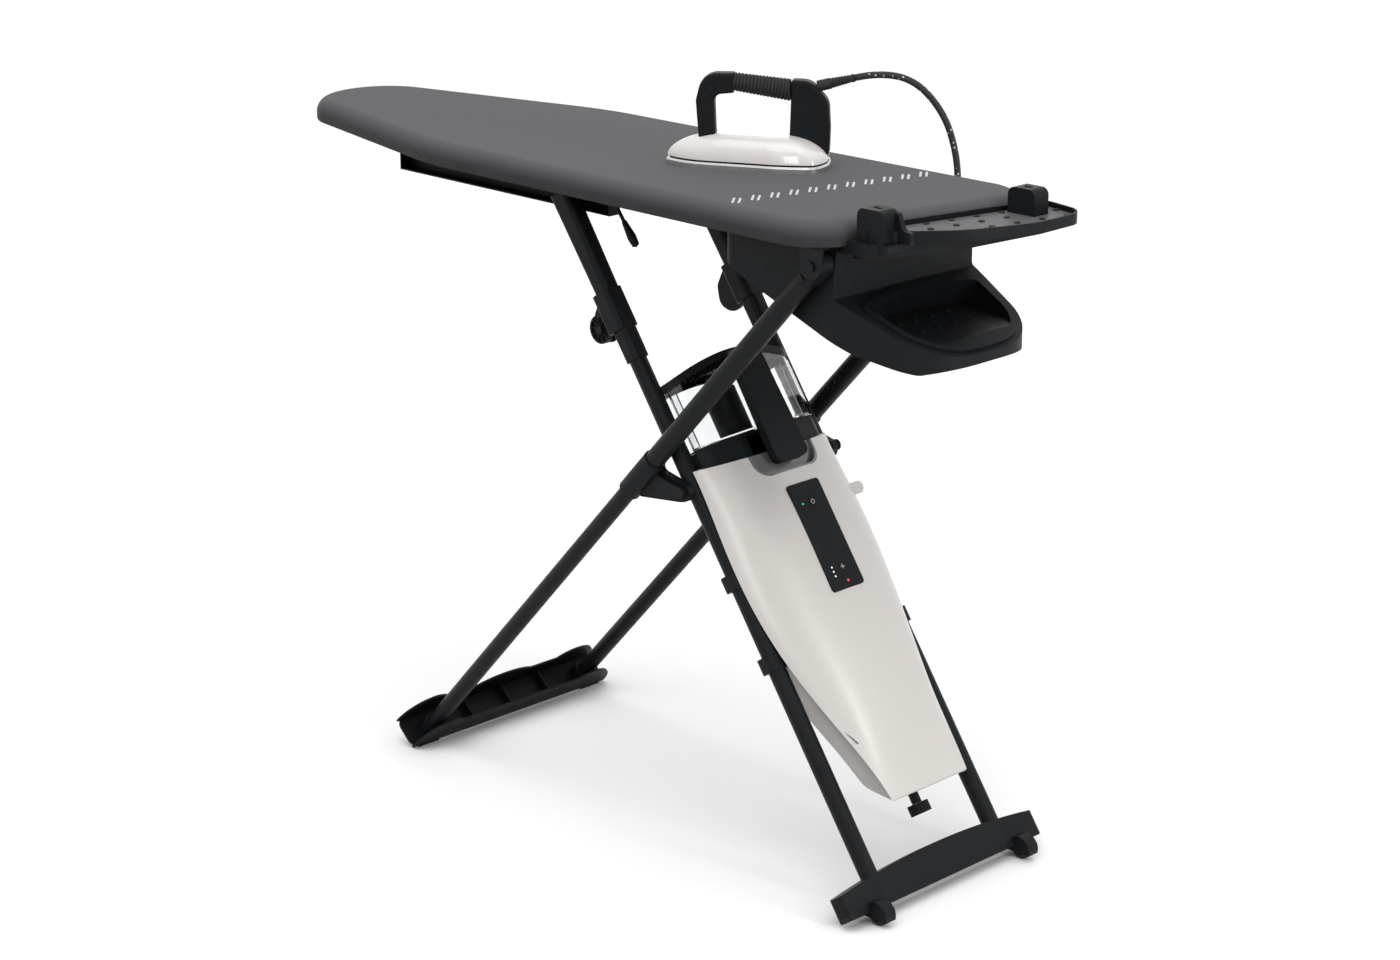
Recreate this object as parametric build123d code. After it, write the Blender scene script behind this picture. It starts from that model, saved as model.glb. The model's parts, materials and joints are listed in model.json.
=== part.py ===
from build123d import *
from math import asin, cos, degrees, hypot, pi, radians, sin, sqrt, tan
import os

# Everything is in millimetres. X runs along the board from the nose to the iron rest, Y across it, Z up.
# Pieces are drawn with the nose tip at X zero and are moved to the middle of the footprint at the end.

# Driving dimensions
board_length = 1191.0
board_top = 925.0
board_half_width = 186.0
footprint_half_width = 197.0
pivot_x = 1132.0
pivot_height = 868.0
slider_x = 637.0
leg_a_length = 1107.0
leg_b_length = 1002.0
foot_a_height = 53.93
foot_b_height = 45.71
leg_a_inset = 43.0
leg_b_inset = 30.0
leg_a_offset = footprint_half_width - leg_a_inset
leg_b_offset = leg_a_offset - leg_b_inset
fit_gap = 0.3
sheet = 2.0
plastic_wall = 3.0
overrun = 1.0
crisp_corner = 1.0

# Frames: each leg is drawn upright, with its own axis along Z, and is then leaned into place.
leg_a_angle = degrees(asin((pivot_height - foot_a_height) / leg_a_length))
leg_b_angle = degrees(asin((pivot_height - foot_b_height) / leg_b_length))
cross_radius = (pivot_x - slider_x) / 2 / cos(radians(leg_b_angle))
cross_x = slider_x + cross_radius * cos(radians(leg_b_angle))
cross_height = pivot_height - cross_radius * sin(radians(leg_b_angle))
cross_station_b = leg_b_length - cross_radius
foot_a_x = pivot_x - leg_a_length * cos(radians(leg_a_angle))
foot_b_x = slider_x + leg_b_length * cos(radians(leg_b_angle))
leg_a_frame = Pos(foot_a_x, 0, foot_a_height) * Rot(0, 90 - leg_a_angle, 0)
leg_b_frame = Pos(foot_b_x, 0, foot_b_height) * Rot(0, leg_b_angle - 90, 0)

nodes = {}


def cross_point_in_a():
    """The crossing pivot in the frame of leg A, as an offset and a station."""
    dx = cross_x - foot_a_x
    dz = cross_height - foot_a_height
    angle = radians(leg_a_angle)
    return dx * sin(angle) - dz * cos(angle), dx * cos(angle) + dz * sin(angle)


cross_offset_a, cross_station_a = cross_point_in_a()


# Helpers

def box(x0, x1, y0, y1, z0, z1):
    """A block between two corners."""
    return Pos((x0 + x1) / 2, (y0 + y1) / 2, (z0 + z1) / 2) * Box(x1 - x0, y1 - y0, z1 - z0)


def rod_y(radius, y0, y1, x=0, z=0):
    """A round bar that lies along Y."""
    return Pos(x, (y0 + y1) / 2, z) * Rot(90, 0, 0) * Cylinder(radius, y1 - y0)


def rod_x(radius, x0, x1, y=0, z=0):
    """A round bar that lies along X."""
    return Pos((x0 + x1) / 2, y, z) * Rot(0, 90, 0) * Cylinder(radius, x1 - x0)


def rod_z(radius, z0, z1, x=0, y=0):
    """A round bar that stands along Z."""
    return Pos(x, y, (z0 + z1) / 2) * Cylinder(radius, z1 - z0)


def pipe(outer, inner, z0, z1):
    """A round tube that stands along Z."""
    return rod_z(outer / 2, z0, z1) - rod_z(inner / 2, z0, z1)


def rounded(points, radii):
    """A closed flat outline whose corners have the given radii."""
    return make_face(FilletPolyline(*points, radius=radii, close=True))


def side_plate(outline, y0, y1):
    """An outline drawn in X and Z, thickened from y0 to y1."""
    plane = Plane(origin=(0, y0, 0), x_dir=(1, 0, 0), z_dir=(0, -1, 0))
    return extrude(plane * outline, amount=y0 - y1)


def front_plate(outline, x0, x1):
    """An outline drawn in Y and Z, thickened from x0 to x1."""
    plane = Plane(origin=(x0, 0, 0), x_dir=(0, 1, 0), z_dir=(1, 0, 0))
    return extrude(plane * outline, amount=x1 - x0)


def plan_plate(outline, z0, z1):
    """An outline drawn in X and Y, thickened from z0 to z1."""
    return extrude(Pos(0, 0, z0) * outline, amount=z1 - z0)


def mirrored(shape):
    """The same shape on the other side of the board's middle plane."""
    return mirror(shape, about=Plane.XZ)


def add_pair(name, near_shape):
    """Two nodes, one each side, from the shape on the near side, for pieces that turn on their own."""
    nodes[name + "_near"] = near_shape
    nodes[name + "_far"] = mirrored(near_shape)


def both_sides(near_shape):
    """One shape made of the near one and its mirror image."""
    return near_shape + mirrored(near_shape)


# Board: a sheet steel deck under a padded fabric cover

nose_half_width = 80.0
nose_corner = 99.0
shoulder_x = 412.0
shoulder_half_width = 180.0
shoulder_corner = 500.0
tail_corner = 70.0
tail_slope = 0.2222
board_thickness = 32.0
board_bottom = board_top - board_thickness
pad = 10.0
cover_edge_radius = 13.0
cover_wall = 3.0
hem_height = 4.0
deck_top = board_top - pad
deck_bottom = board_bottom + hem_height
vent_length = 40.0
vent_width = 9.0
vent_pitch_x = 92.0
vent_pitch_y = 52.0
vent_first_x = 150.0
vent_columns = 8
vent_rows = 5


def board_outline(inset):
    """The board seen from above, drawn inwards by the inset."""
    tail_near = board_length - tail_slope * board_half_width
    tail_far = board_length + tail_slope * board_half_width
    points = [
        (0, -nose_half_width),
        (shoulder_x, -shoulder_half_width),
        (tail_near, -board_half_width),
        (tail_far, board_half_width),
        (shoulder_x, shoulder_half_width),
        (0, nose_half_width),
    ]
    radii = [nose_corner, shoulder_corner, tail_corner, tail_corner, shoulder_corner, nose_corner]
    outline = rounded(points, radii)
    if inset:
        outline = offset(outline, amount=-inset)
    return outline


def make_board():
    """The deck pan with its vent slots, and the cover that wraps its rim."""
    whole = plan_plate(board_outline(0), board_bottom, board_top)
    whole = fillet(whole.faces().sort_by(Axis.Z)[-1].edges(), cover_edge_radius)
    nodes["board_cover"] = whole - plan_plate(board_outline(cover_wall), board_bottom, deck_top)
    pan = plan_plate(board_outline(cover_wall + fit_gap), deck_bottom, deck_top - fit_gap)
    pan -= plan_plate(board_outline(cover_wall + fit_gap + sheet), deck_bottom, deck_top - fit_gap - sheet)
    slot = SlotOverall(vent_length, vent_width)
    for column in range(vent_columns):
        for row in range(vent_rows):
            x = vent_first_x + vent_pitch_x * column
            y = vent_pitch_y * (row - (vent_rows - 1) / 2)
            inside = abs(y) < nose_half_width or column > 1
            if inside:
                pan -= plan_plate(Pos(x, y) * slot, deck_top - fit_gap - sheet, deck_top)
    nodes["board_deck"] = pan


# Slide rails under the deck, in which the rollers of leg B run

rail_web_inner = 86.0
rail_width = 20.0
rail_start = 262.0
rail_end = 702.0
roller_radius = 10.0
roller_play = 3.0
rail_slot = 2 * (roller_radius + roller_play)


def make_rails():
    """Two folded channels, open outwards, hung from the deck."""
    under_deck = deck_top - fit_gap - sheet
    low = pivot_height - rail_slot / 2 - sheet
    high = pivot_height + rail_slot / 2
    near = box(rail_start, rail_end, -rail_web_inner - sheet, -rail_web_inner, low, under_deck)
    for z in (low, high, under_deck - sheet):
        near += box(rail_start, rail_end, -rail_web_inner - rail_width, -rail_web_inner, z, z + sheet)
    for x in (rail_start, rail_end - sheet):
        near += box(x, x + sheet, -rail_web_inner - rail_width, -rail_web_inner, low, high + sheet)
    nodes["slide_rails"] = both_sides(near)


# Brackets that carry leg A

bracket_half_length = 24.0
bracket_sheet = 3.0
eye_width = 24.0
eye_radius = 15.0
bracket_play = 0.5
pivot_pin_radius = 4.0
pin_play = 0.05
pin_head = 3.0
pin_head_radius = 7.0
bracket_foot_share = 0.9
bracket_corner_share = 0.7


def inside_pan(shape):
    """A fitting under the deck, cut back where it would reach into the rim of the pan."""
    room = plan_plate(board_outline(cover_wall + 2 * fit_gap + sheet), board_bottom - overrun, board_top)
    return shape - (plan_plate(board_outline(-eye_width), board_bottom - overrun, board_top) - room)


def make_pivot_brackets():
    """A folded fork each side, with the pin that carries the leg's eye."""
    middle = -leg_a_offset
    reach = eye_width / 2 + bracket_play
    under_deck = deck_top - fit_gap - sheet
    outline = rounded(
        [
            (pivot_x - bracket_half_length, under_deck),
            (pivot_x - eye_radius * bracket_foot_share, pivot_height - eye_radius),
            (pivot_x + eye_radius * bracket_foot_share, pivot_height - eye_radius),
            (pivot_x + bracket_half_length, under_deck),
        ],
        [crisp_corner, eye_radius * bracket_corner_share, eye_radius * bracket_corner_share, crisp_corner],
    )
    fork = side_plate(outline, middle - reach - bracket_sheet, middle - reach)
    fork += side_plate(outline, middle + reach, middle + reach + bracket_sheet)
    fork += box(
        pivot_x - bracket_half_length, pivot_x + bracket_half_length,
        middle - reach - bracket_sheet, middle + reach + bracket_sheet,
        under_deck - bracket_sheet, under_deck,
    )
    fork -= rod_y(pivot_pin_radius, middle - 2 * reach, middle + 2 * reach, pivot_x, pivot_height)
    nodes["pivot_brackets"] = inside_pan(both_sides(fork))
    outer = middle - reach - bracket_sheet
    pin = rod_y(pivot_pin_radius, outer, middle + reach + bracket_sheet, pivot_x, pivot_height)
    pin += rod_y(pin_head_radius, outer - pin_head, outer, pivot_x, pivot_height)
    nodes["leg_a_pivot_pins"] = both_sides(pin)


# Blower housing and storage bowl, one moulding under the tail of the board

housing_start = 945.0
housing_half_width = 136.0
housing_wall_x = 1140.0
rim_tilt = 23.0
rim_rear_x = 1135.0
rim_rear_height = 823.0
rim_rear_half_width = 124.0
rim_front_half_width = 101.0
rim_length = 168.0
rim_front_rise = 8.0
rim_front_radius = 300.0
rim_front_corner = 88.0
rim_rear_rise = 26.0
rim_rear_radius = 250.0
rim_rear_corner = 24.0
housing_rear_corner = 18.0
housing_waist_radius = 160.0
basin_inset = 13.0
basin_floor_height = 778.0
bump_radius = 4.0
bump_height = 2.0
bump_pitch = 31.5
bump_rows_x = (1174.0, 1212.0)
basin_floor_lead = 50.0
basin_floor_reach = 250.0
basin_floor_start = rim_rear_x - basin_floor_lead
basin_floor_end = rim_rear_x + basin_floor_reach
basin_floor_rise = 6.0
basin_floor_fall = 12.0
basin_depth = 60.0
basin_lip = 6.0
bump_columns = 4
fan_x = 1045.0
fan_height = 846.0
fan_radius = 62.0
fan_depth = 34.0
fan_blades = 12
fan_hub_radius = 20.0
fan_shaft_radius = 3.0
intake_radius = 52.0
intake_ribs = 5
intake_rib = 3.0
rim_cut_depth = 18.0
basin_hollow_over = 8.0
intake_span_share = 0.98
motor_radius = 26.0
motor_height = 22.0
shaft_rise = 6.0
blade_height_share = 0.7
blade_root_share = 0.62
housing_heel_height = 842.0
housing_belly_x = 975.0
housing_belly_height = 826.0
housing_throat_x = 1170.0
housing_throat_height = 753.0
housing_toe_length = 36.0
housing_toe_low = 737.0
housing_toe_high = 745.0
housing_sharp_corner = 0.5
housing_heel_radius = 14.0
housing_belly_radius = 20.0
housing_throat_radius = 60.0
housing_toe_radius = 20.0
housing_rim_radius = 3.0
housing_wall_radius = 6.0
divider_x = 1116.0
rim_frame = Pos(rim_rear_x, 0, rim_rear_height) * Rot(0, rim_tilt, 0)


def rim_outline(inset):
    """The bowl's D shape, drawn on its tilted rim, with an arched rear side and a full round front."""
    side_u = rim_length - rim_front_rise
    points = [
        (0, 0),
        (rim_rear_rise, -rim_rear_half_width),
        (side_u, -rim_front_half_width),
        (rim_length, 0),
        (side_u, rim_front_half_width),
        (rim_rear_rise, rim_rear_half_width),
    ]
    radii = [rim_rear_radius, rim_rear_corner, rim_front_corner, rim_front_radius, rim_front_corner,
             rim_rear_corner]
    return offset(rounded(points, radii), amount=-inset)


def housing_plan(inset):
    """The housing seen from above, its front end the rim's outline seen straight down."""
    reach = rim_length * cos(radians(rim_tilt))
    side_x = rim_rear_x + reach - rim_front_rise
    points = [
        (housing_start, -housing_half_width),
        (housing_wall_x, -housing_half_width),
        (side_x, -rim_front_half_width),
        (rim_rear_x + reach, 0),
        (side_x, rim_front_half_width),
        (housing_wall_x, housing_half_width),
        (housing_start, housing_half_width),
    ]
    radii = [housing_rear_corner, housing_waist_radius, rim_front_corner, rim_front_radius, rim_front_corner,
             housing_waist_radius, housing_rear_corner]
    outline = rounded(points, radii)
    if inset:
        outline = offset(outline, amount=-inset)
    return outline


def housing_side(inset, top):
    """The housing seen from the side, with its sloping bottom and its tilted rim."""
    rim_x = rim_rear_x + rim_length * cos(radians(rim_tilt))
    rim_z = rim_rear_height - rim_length * sin(radians(rim_tilt))
    wall_z = rim_rear_height - (housing_wall_x - rim_rear_x) * tan(radians(rim_tilt))
    points = [
        (housing_start + inset, top),
        (housing_start + inset, housing_heel_height + inset),
        (housing_belly_x + inset, housing_belly_height + inset),
        (housing_throat_x, housing_throat_height + inset),
        (rim_x - housing_toe_length, housing_toe_low + inset),
        (rim_x - inset, housing_toe_high),
        (rim_x - inset, rim_z - inset),
        (housing_wall_x - inset, wall_z - inset),
        (housing_wall_x - inset, top),
    ]
    radii = [housing_sharp_corner, housing_heel_radius, housing_belly_radius, housing_throat_radius,
             housing_toe_radius, housing_rim_radius, crisp_corner, housing_wall_radius, housing_sharp_corner]
    return rounded(points, radii)


def housing_body(inset, top):
    """The common part of the side view and the plan view."""
    side = side_plate(housing_side(inset, top), -2 * housing_half_width, 2 * housing_half_width)
    plan = plan_plate(housing_plan(inset), board_bottom / 2, top)
    return side & plan


def fan_cutter():
    """The round intake in the sloping bottom, crossed by ribs."""
    hole = rod_z(intake_radius, board_bottom / 2, fan_height, fan_x, 0)
    for i in range(intake_ribs):
        y = intake_radius * 2 * ((i + 0.5) / intake_ribs - 0.5) * intake_span_share
        hole -= box(fan_x - intake_radius, fan_x + intake_radius, y - intake_rib / 2, y + intake_rib / 2,
                    0, fan_height)
    return hole


def make_housing():
    """The hollow moulding, closed on top by the deck, with a round intake and an open bowl."""
    body = housing_body(0, board_bottom)
    inner = housing_body(plastic_wall, board_bottom + overrun)
    bowl_hole = extrude(rim_frame * rim_outline(basin_inset), amount=-rim_cut_depth)
    bowl_hole += extrude(rim_frame * rim_outline(basin_inset), amount=2 * plastic_wall)
    divider = box(
        divider_x, divider_x + plastic_wall,
        -housing_half_width, housing_half_width, basin_floor_height - basin_depth, board_bottom,
    )
    shell = body - inner - fan_cutter()
    shell += divider & housing_body(0, board_bottom)
    shell -= bowl_hole
    lid = plan_plate(offset(housing_lid_outline(), amount=-plastic_wall / 2), board_bottom - plastic_wall,
                     board_bottom)
    nodes["housing_shell"] = shell + lid


def housing_lid_outline():
    """The part of the housing's plan that lies behind its end wall."""
    return rounded(
        [
            (housing_start, -housing_half_width),
            (housing_wall_x - plastic_wall, -housing_half_width),
            (housing_wall_x - plastic_wall, housing_half_width),
            (housing_start, housing_half_width),
        ],
        [housing_rear_corner, crisp_corner, crisp_corner, housing_rear_corner],
    )


def basin_floor_at(x):
    """The height of the bowl's sloping floor."""
    share = (x - basin_floor_start) / (basin_floor_end - basin_floor_start)
    return basin_floor_height + basin_floor_rise - (basin_floor_rise + basin_floor_fall) * share


def make_basin():
    """The dish that drops into the bowl, with a lip on the rim and bumps on its floor."""
    lip = extrude(rim_frame * rim_outline(basin_inset - basin_lip), amount=2 * sheet)
    lip += extrude(rim_frame * rim_outline(basin_inset + fit_gap), amount=-2 * plastic_wall)
    cup = extrude(rim_frame * rim_outline(basin_inset + fit_gap), amount=-basin_depth)
    floor = side_plate(
        Polygon(
            (basin_floor_start, basin_floor_at(basin_floor_start) - plastic_wall),
            (basin_floor_end, basin_floor_at(basin_floor_end) - plastic_wall),
            (basin_floor_end, board_top),
            (basin_floor_start, board_top),
            align=None,
        ),
        -housing_half_width, housing_half_width,
    )
    inner = rim_outline(basin_inset + fit_gap + plastic_wall)
    hollow = extrude(rim_frame * inner, amount=-basin_depth)
    hollow += extrude(rim_frame * inner, amount=basin_hollow_over)
    dish = lip + (cup & floor)
    dish -= hollow & (Pos(0, 0, plastic_wall) * floor)
    for x in bump_rows_x:
        for i in range(bump_columns):
            y = bump_pitch * (i - (bump_columns - 1) / 2)
            z = basin_floor_at(x)
            dish += rod_z(bump_radius, z - plastic_wall / 2, z + bump_height, x, y)
    nodes["storage_basin"] = dish - nodes["housing_shell"]


def make_fan():
    """The blower inside the housing: a motor on the lid and a bladed rotor under it."""
    top = board_bottom - plastic_wall
    motor = rod_z(motor_radius, top - motor_height, top, fan_x, 0)
    motor += rod_z(fan_shaft_radius, fan_height - fan_depth / 2 + shaft_rise, top - motor_height, fan_x, 0)
    nodes["fan_motor"] = motor
    low = fan_height - fan_depth / 2
    high = low + fan_depth * blade_height_share
    rotor = rod_z(fan_radius, high, high + sheet, fan_x, 0)
    rotor += rod_z(fan_hub_radius, low + sheet, high, fan_x, 0)
    for i in range(fan_blades):
        blade = box(fan_radius * blade_root_share, fan_radius - sheet / 2, -sheet / 2, sheet / 2, low, high)
        blade = Pos(fan_x, 0, 0) * Rot(0, 0, i * 360 / fan_blades) * blade
        rotor += blade
    rotor -= rod_z(fan_shaft_radius + pin_play, low, high + 2 * sheet, fan_x, 0)
    nodes["fan_rotor"] = rotor


# Height lever under the near edge of the board

lever_x = 722.0
lever_y = -118.0
lever_height = 882.0
lever_length = 74.0
lever_angle = 38.0
lever_rod_radius = 2.6
lever_grip_length = 40.0
lever_grip_radius = 6.4
lever_grip_shares = ((0.55, 0), (1, 0.62), (0.8, 0.93))
lever_pin_half = 12.0
lever_cheek = 1.0
lever_block_half = 9.0
lever_block_height = 16.0
lever_block_rise = 2.0
lever_foot_half = 14.0
lever_foot_rise = 9.0
lever_slot_half = 5.0
lever_slot_rise = 6.5


def make_lever():
    """A bent rod in a small block, with a tapered grip on its end."""
    frame = Pos(lever_x, lever_y, lever_height) * Rot(0, 180 - lever_angle, 0)
    rod = rod_z(lever_rod_radius, 0, lever_length - lever_grip_length / 2)
    rod += rod_y(lever_rod_radius, -lever_pin_half, lever_pin_half)
    side = [(lever_grip_radius * wide, lever_grip_length * along) for wide, along in lever_grip_shares]
    profile = make_face(Polyline((0, 0), *side, (0, lever_grip_length), close=True))
    grip = revolve(Plane.XZ * profile, axis=Axis.Z)
    grip = Pos(0, 0, lever_length - lever_grip_length) * grip
    rod -= grip
    nodes["lever_rod"] = frame * rod
    nodes["lever_grip"] = frame * grip
    under_deck = deck_top - fit_gap - sheet
    half_y = lever_pin_half + lever_cheek
    block = box(-lever_block_half, lever_block_half, -half_y, half_y,
                -lever_block_height / 2, lever_block_height / 2)
    block = Pos(lever_x, lever_y, lever_height + lever_block_rise) * block
    block += box(lever_x - lever_foot_half, lever_x + lever_foot_half, lever_y - half_y, lever_y + half_y,
                 lever_height + lever_foot_rise, under_deck)
    block -= box(lever_x - 2 * lever_foot_half, lever_x + 2 * lever_foot_half,
                 lever_y - lever_slot_half, lever_y + lever_slot_half,
                 lever_height - lever_block_height, lever_height + lever_slot_rise)
    bore_half = lever_pin_half + 2 * pin_play
    block -= rod_y(lever_rod_radius + pin_play, lever_y - bore_half, lever_y + bore_half, lever_x, lever_height)
    nodes["lever_block"] = block


# Iron rest: a skewed half-moon tray with nubs and two raised ears, on a bar under the tail

rest_frame = Pos(board_length, 0, 0) * Rot(0, 0, -degrees(asin(tail_slope / sqrt(1 + tail_slope ** 2))))
rest_drop = 23.0
rest_floor_drop = 15.0
rest_rim_drop = 8.0
rest_bottom = board_top - rest_drop
rest_floor = board_top - rest_floor_drop
rest_rim = board_top - rest_rim_drop
rest_rim_width = 3.0
rest_rear = 1.0
rest_near_end = 126.0
rest_near_width = 34.0
rest_near_corner = 7.0
rest_middle_width = 90.0
rest_middle_place = 24.0
rest_middle_radius = 140.0
rest_full_width = 107.0
rest_full_place = 80.0
rest_full_radius = 90.0
rest_far_width = 85.0
rest_far_end = 172.0
rest_far_corner = 34.0
rest_rear_corner = 20.0
nub_radius = 4.0
nub_height = 1.6
nub_pitch = 39.0
nub_rows = ((12.0, -65.0, 6), (39.0, -44.0, 6), (71.0, -19.0, 5))
ear_length = 44.0
ear_width = 28.0
ear_rise = 19.0
ear_top = board_top + ear_rise
ear_heel = 8.0
ridge_heel_share = 0.25
ear_slot_length = 12.0
ear_slot_width = 6.0
ear_slot_depth = 10.0
ear_corner = 10.0
ear_near_x = 1193.5
ear_far_x = 1247.0
ear_offset = 114.0
ridge_length = 34.0
ridge_width = 5.0
ridge_bend_share = 0.62
ridge_fall_share = 0.4
gusset_flare = 8.0
gusset_depth = 17.0
bar_rear = 46.0
bar_front = 44.0
bar_crown = 60.0
bar_near_rear = 150.0
bar_near_front = 132.0
bar_far_front = 150.0
bar_far_rear = 160.0
bar_corner = 10.0
bar_front_corner = 20.0
bar_crown_radius = 60.0
bar_thickness = 9.0
bar_step = 4.0


def rest_outline(inset):
    """The tray seen from above, in the frame of the board's tail: a half moon that narrows to the near ear."""
    points = [
        (rest_rear, -rest_near_end),
        (rest_near_width, -rest_near_end),
        (rest_middle_width, -rest_middle_place),
        (rest_full_width, rest_full_place),
        (rest_far_width, rest_far_end),
        (rest_rear, rest_far_end),
    ]
    radii = [rest_near_corner, rest_near_corner, rest_middle_radius, rest_full_radius, rest_far_corner,
             rest_rear_corner]
    outline = rounded(points, radii)
    if inset:
        outline = offset(outline, amount=-inset)
    return outline


def ear(x, y):
    """A rounded block with a slot in its top."""
    outline = rounded(
        [
            (x - ear_length / 2, rest_bottom - ear_heel),
            (x + ear_length / 2, rest_bottom),
            (x + ear_length / 2, ear_top),
            (x - ear_length / 2, ear_top),
        ],
        [sheet, sheet, ear_corner, ear_corner],
    )
    block = side_plate(outline, y - ear_width / 2, y + ear_width / 2)
    slot = box(x - ear_slot_length / 2, x + ear_slot_length / 2, y - ear_slot_width / 2, y + ear_slot_width / 2,
               ear_top - ear_slot_depth, ear_top + overrun)
    return block - slot


def near_ridge():
    """The thin curved ridge that runs from the near ear down to the rim of the tray."""
    left = ear_near_x + ear_length / 2 - ear_corner
    outline = rounded(
        [
            (left, rest_bottom),
            (left + ridge_length, rest_bottom),
            (left + ridge_length, rest_rim),
            (left + ridge_length * ridge_bend_share, rest_rim + sheet),
            (left + ridge_length * ridge_fall_share, ear_top - ear_corner / 2),
            (left, ear_top - ear_corner * ridge_heel_share),
        ],
        [sheet / 2, sheet / 2, sheet / 2, ear_corner, ear_corner / 2, sheet / 2],
    )
    inner = -ear_offset + ear_width / 2
    return side_plate(outline, inner - ridge_width, inner + ridge_width / 2)


def near_gusset():
    """The flared bracket under the near ear."""
    left = ear_near_x - ear_length / 2
    right = ear_near_x + ear_length / 2
    outline = rounded(
        [
            (left - gusset_flare, board_bottom - gusset_depth),
            (right + gusset_flare, board_bottom - sheet),
            (right + gusset_flare, rest_bottom),
            (left, rest_bottom),
            (left, board_bottom - sheet),
        ],
        [sheet, sheet, sheet / 2, sheet / 2, sheet],
    )
    return side_plate(outline, -ear_offset - ear_width / 2, -ear_offset + ear_width / 2)


def make_rest():
    """Tray, nubs, ears and the bar that holds them under the deck."""
    tray = rest_frame * plan_plate(rest_outline(0), rest_bottom, rest_rim)
    tray -= rest_frame * plan_plate(rest_outline(rest_rim_width), rest_floor, rest_rim + overrun)
    near = ear(ear_near_x, -ear_offset) + near_ridge()
    far = ear(ear_far_x, ear_offset)
    nodes["rest_ears"] = near + far
    tray = tray - near - far
    nubs = []
    for row_x, first_y, count in nub_rows:
        for i in range(count):
            y = first_y + nub_pitch * i
            x = board_length + row_x + tail_slope * y
            nubs.append(rod_z(nub_radius, rest_floor, rest_floor + nub_height, x, y))
    group = nubs[0]
    for nub in nubs[1:]:
        group += nub
    group = group - near - far
    inside = rest_frame * plan_plate(rest_outline(rest_rim_width), rest_floor, rest_rim)
    nodes["rest_nubs"] = group & inside
    bar = rest_frame * rounded_bar() + near_gusset() - near - far
    bar -= box(housing_start, housing_wall_x + fit_gap, -housing_half_width - fit_gap,
               housing_half_width + fit_gap, 0, board_top)
    nodes["rest_tray"] = tray + bar


def rounded_bar():
    """The bar below the tail, longer than the tray is wide."""
    outline = rounded(
        [(-bar_rear, -bar_near_rear), (bar_front, -bar_near_front), (bar_crown, 0), (bar_front, bar_far_front),
         (-bar_rear, bar_far_rear)],
        [bar_corner, bar_front_corner, bar_crown_radius, bar_front_corner, bar_corner],
    )
    bar = plan_plate(outline, board_bottom - bar_thickness, board_bottom)
    step = box(bar_step, bar_crown, -bar_near_rear, bar_far_rear, board_bottom, rest_bottom)
    step = step & plan_plate(outline, board_bottom, rest_bottom)
    return bar + step


# Iron: sole, heat shield, domed cover, handle, grip, steam button and strain relief

iron_tip_x = 750.0
iron_tip_y = -45.0
iron_turn = 38.0
iron_length = 222.0
iron_half_width = 54.0
iron_middle_share = 0.54
iron_nose_share = 0.02
iron_nose_width_share = 0.12
iron_side_shares = ((0.15, -0.5), (0.36, -0.72), (0.62, -0.93), (0.82, -1.0))
iron_heel_shares = ((0.94, -0.86), (0.985, -0.5), (1.0, 0.0))
sole_height = 9.0
sole_side_share = 0.7
sole_top_shares = (0.985, 0.97)
shield_height = 2.5
shield_shares = (0.96, 0.93)
cover_height = 44.0
cover_shares = ((0, 0.985, 0.97), (0.3, 0.95, 0.93), (0.62, 0.84, 0.82), (0.86, 0.68, 0.64), (1.0, 0.5, 0.42))
handle_width = 24.0
handle_lift = 4.0
handle_cheek = 1.0
post_points = ((46.0, 20.0), (41.0, 84.0), (50.0, 121.0), (112.0, 121.5), (112.0, 97.0), (66.0, 92.0),
               (69.0, 20.0))
post_radii = (6.0, 20.0, 26.0, 6.0, 6.0, 10.0, 6.0)
post_end = 92.0
post_under = 80.0
post_over = 130.0
rear_points = ((167.0, 20.0), (169.0, 84.0), (168.0, 114.0), (196.0, 113.0), (220.0, 86.0), (222.0, 50.0),
               (221.0, 13.0))
rear_radii = (6.0, 6.0, 6.0, 24.0, 24.0, 10.0, 6.0)
handle_seat_start = 196.0
iron_frame = Pos(iron_tip_x, iron_tip_y, board_top) * Rot(0, 0, iron_turn)
handle_frame = iron_frame * Pos(0, 0, handle_lift)


def iron_outline(scale_x, scale_y, height):
    """The sole's drop shape, shrunk about the middle of the iron, as a face at a height."""
    middle = iron_length * iron_middle_share
    tip = middle - middle * scale_x
    heel = middle + (iron_length - middle) * scale_x
    reach = heel - tip
    wide = iron_half_width * scale_y

    def at(share, side):
        return (tip + reach * share, side * wide)

    points_near = [at(iron_nose_share, -iron_nose_width_share)] + [at(*pair) for pair in iron_side_shares]
    rear_near = [points_near[-1]] + [at(*pair) for pair in iron_heel_shares]
    near = Spline(*points_near, tangents=[(1, -1), (1, 0)])
    heel_near = Spline(*rear_near, tangents=[(1, 0), (0, 1)])
    heel_far = mirror(heel_near, about=Plane.XZ)
    far = mirror(near, about=Plane.XZ)
    nose = ThreePointArc(points_near[0], at(0, 0), at(iron_nose_share, iron_nose_width_share))
    face = make_face(Curve() + [near, heel_near, heel_far, far, nose])
    return Pos(0, 0, height) * face


def make_iron_body():
    """The pieces stacked on the sole."""
    side = sole_height * sole_side_share
    sole = extrude(iron_outline(1, 1, 0), amount=side)
    top = loft([iron_outline(1, 1, side), iron_outline(*sole_top_shares, sole_height)], ruled=True)
    nodes["iron_sole"] = iron_frame * (sole + top)
    shield = extrude(iron_outline(*shield_shares, sole_height), amount=shield_height)
    nodes["iron_shield"] = iron_frame * shield
    low = sole_height + shield_height
    sections = []
    for share, along, wide in cover_shares:
        sections.append(iron_outline(along, wide, low + (cover_height - low) * share))
    cover = loft(sections)
    nodes["iron_cover"] = iron_frame * (cover - handle_footprint())


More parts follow.
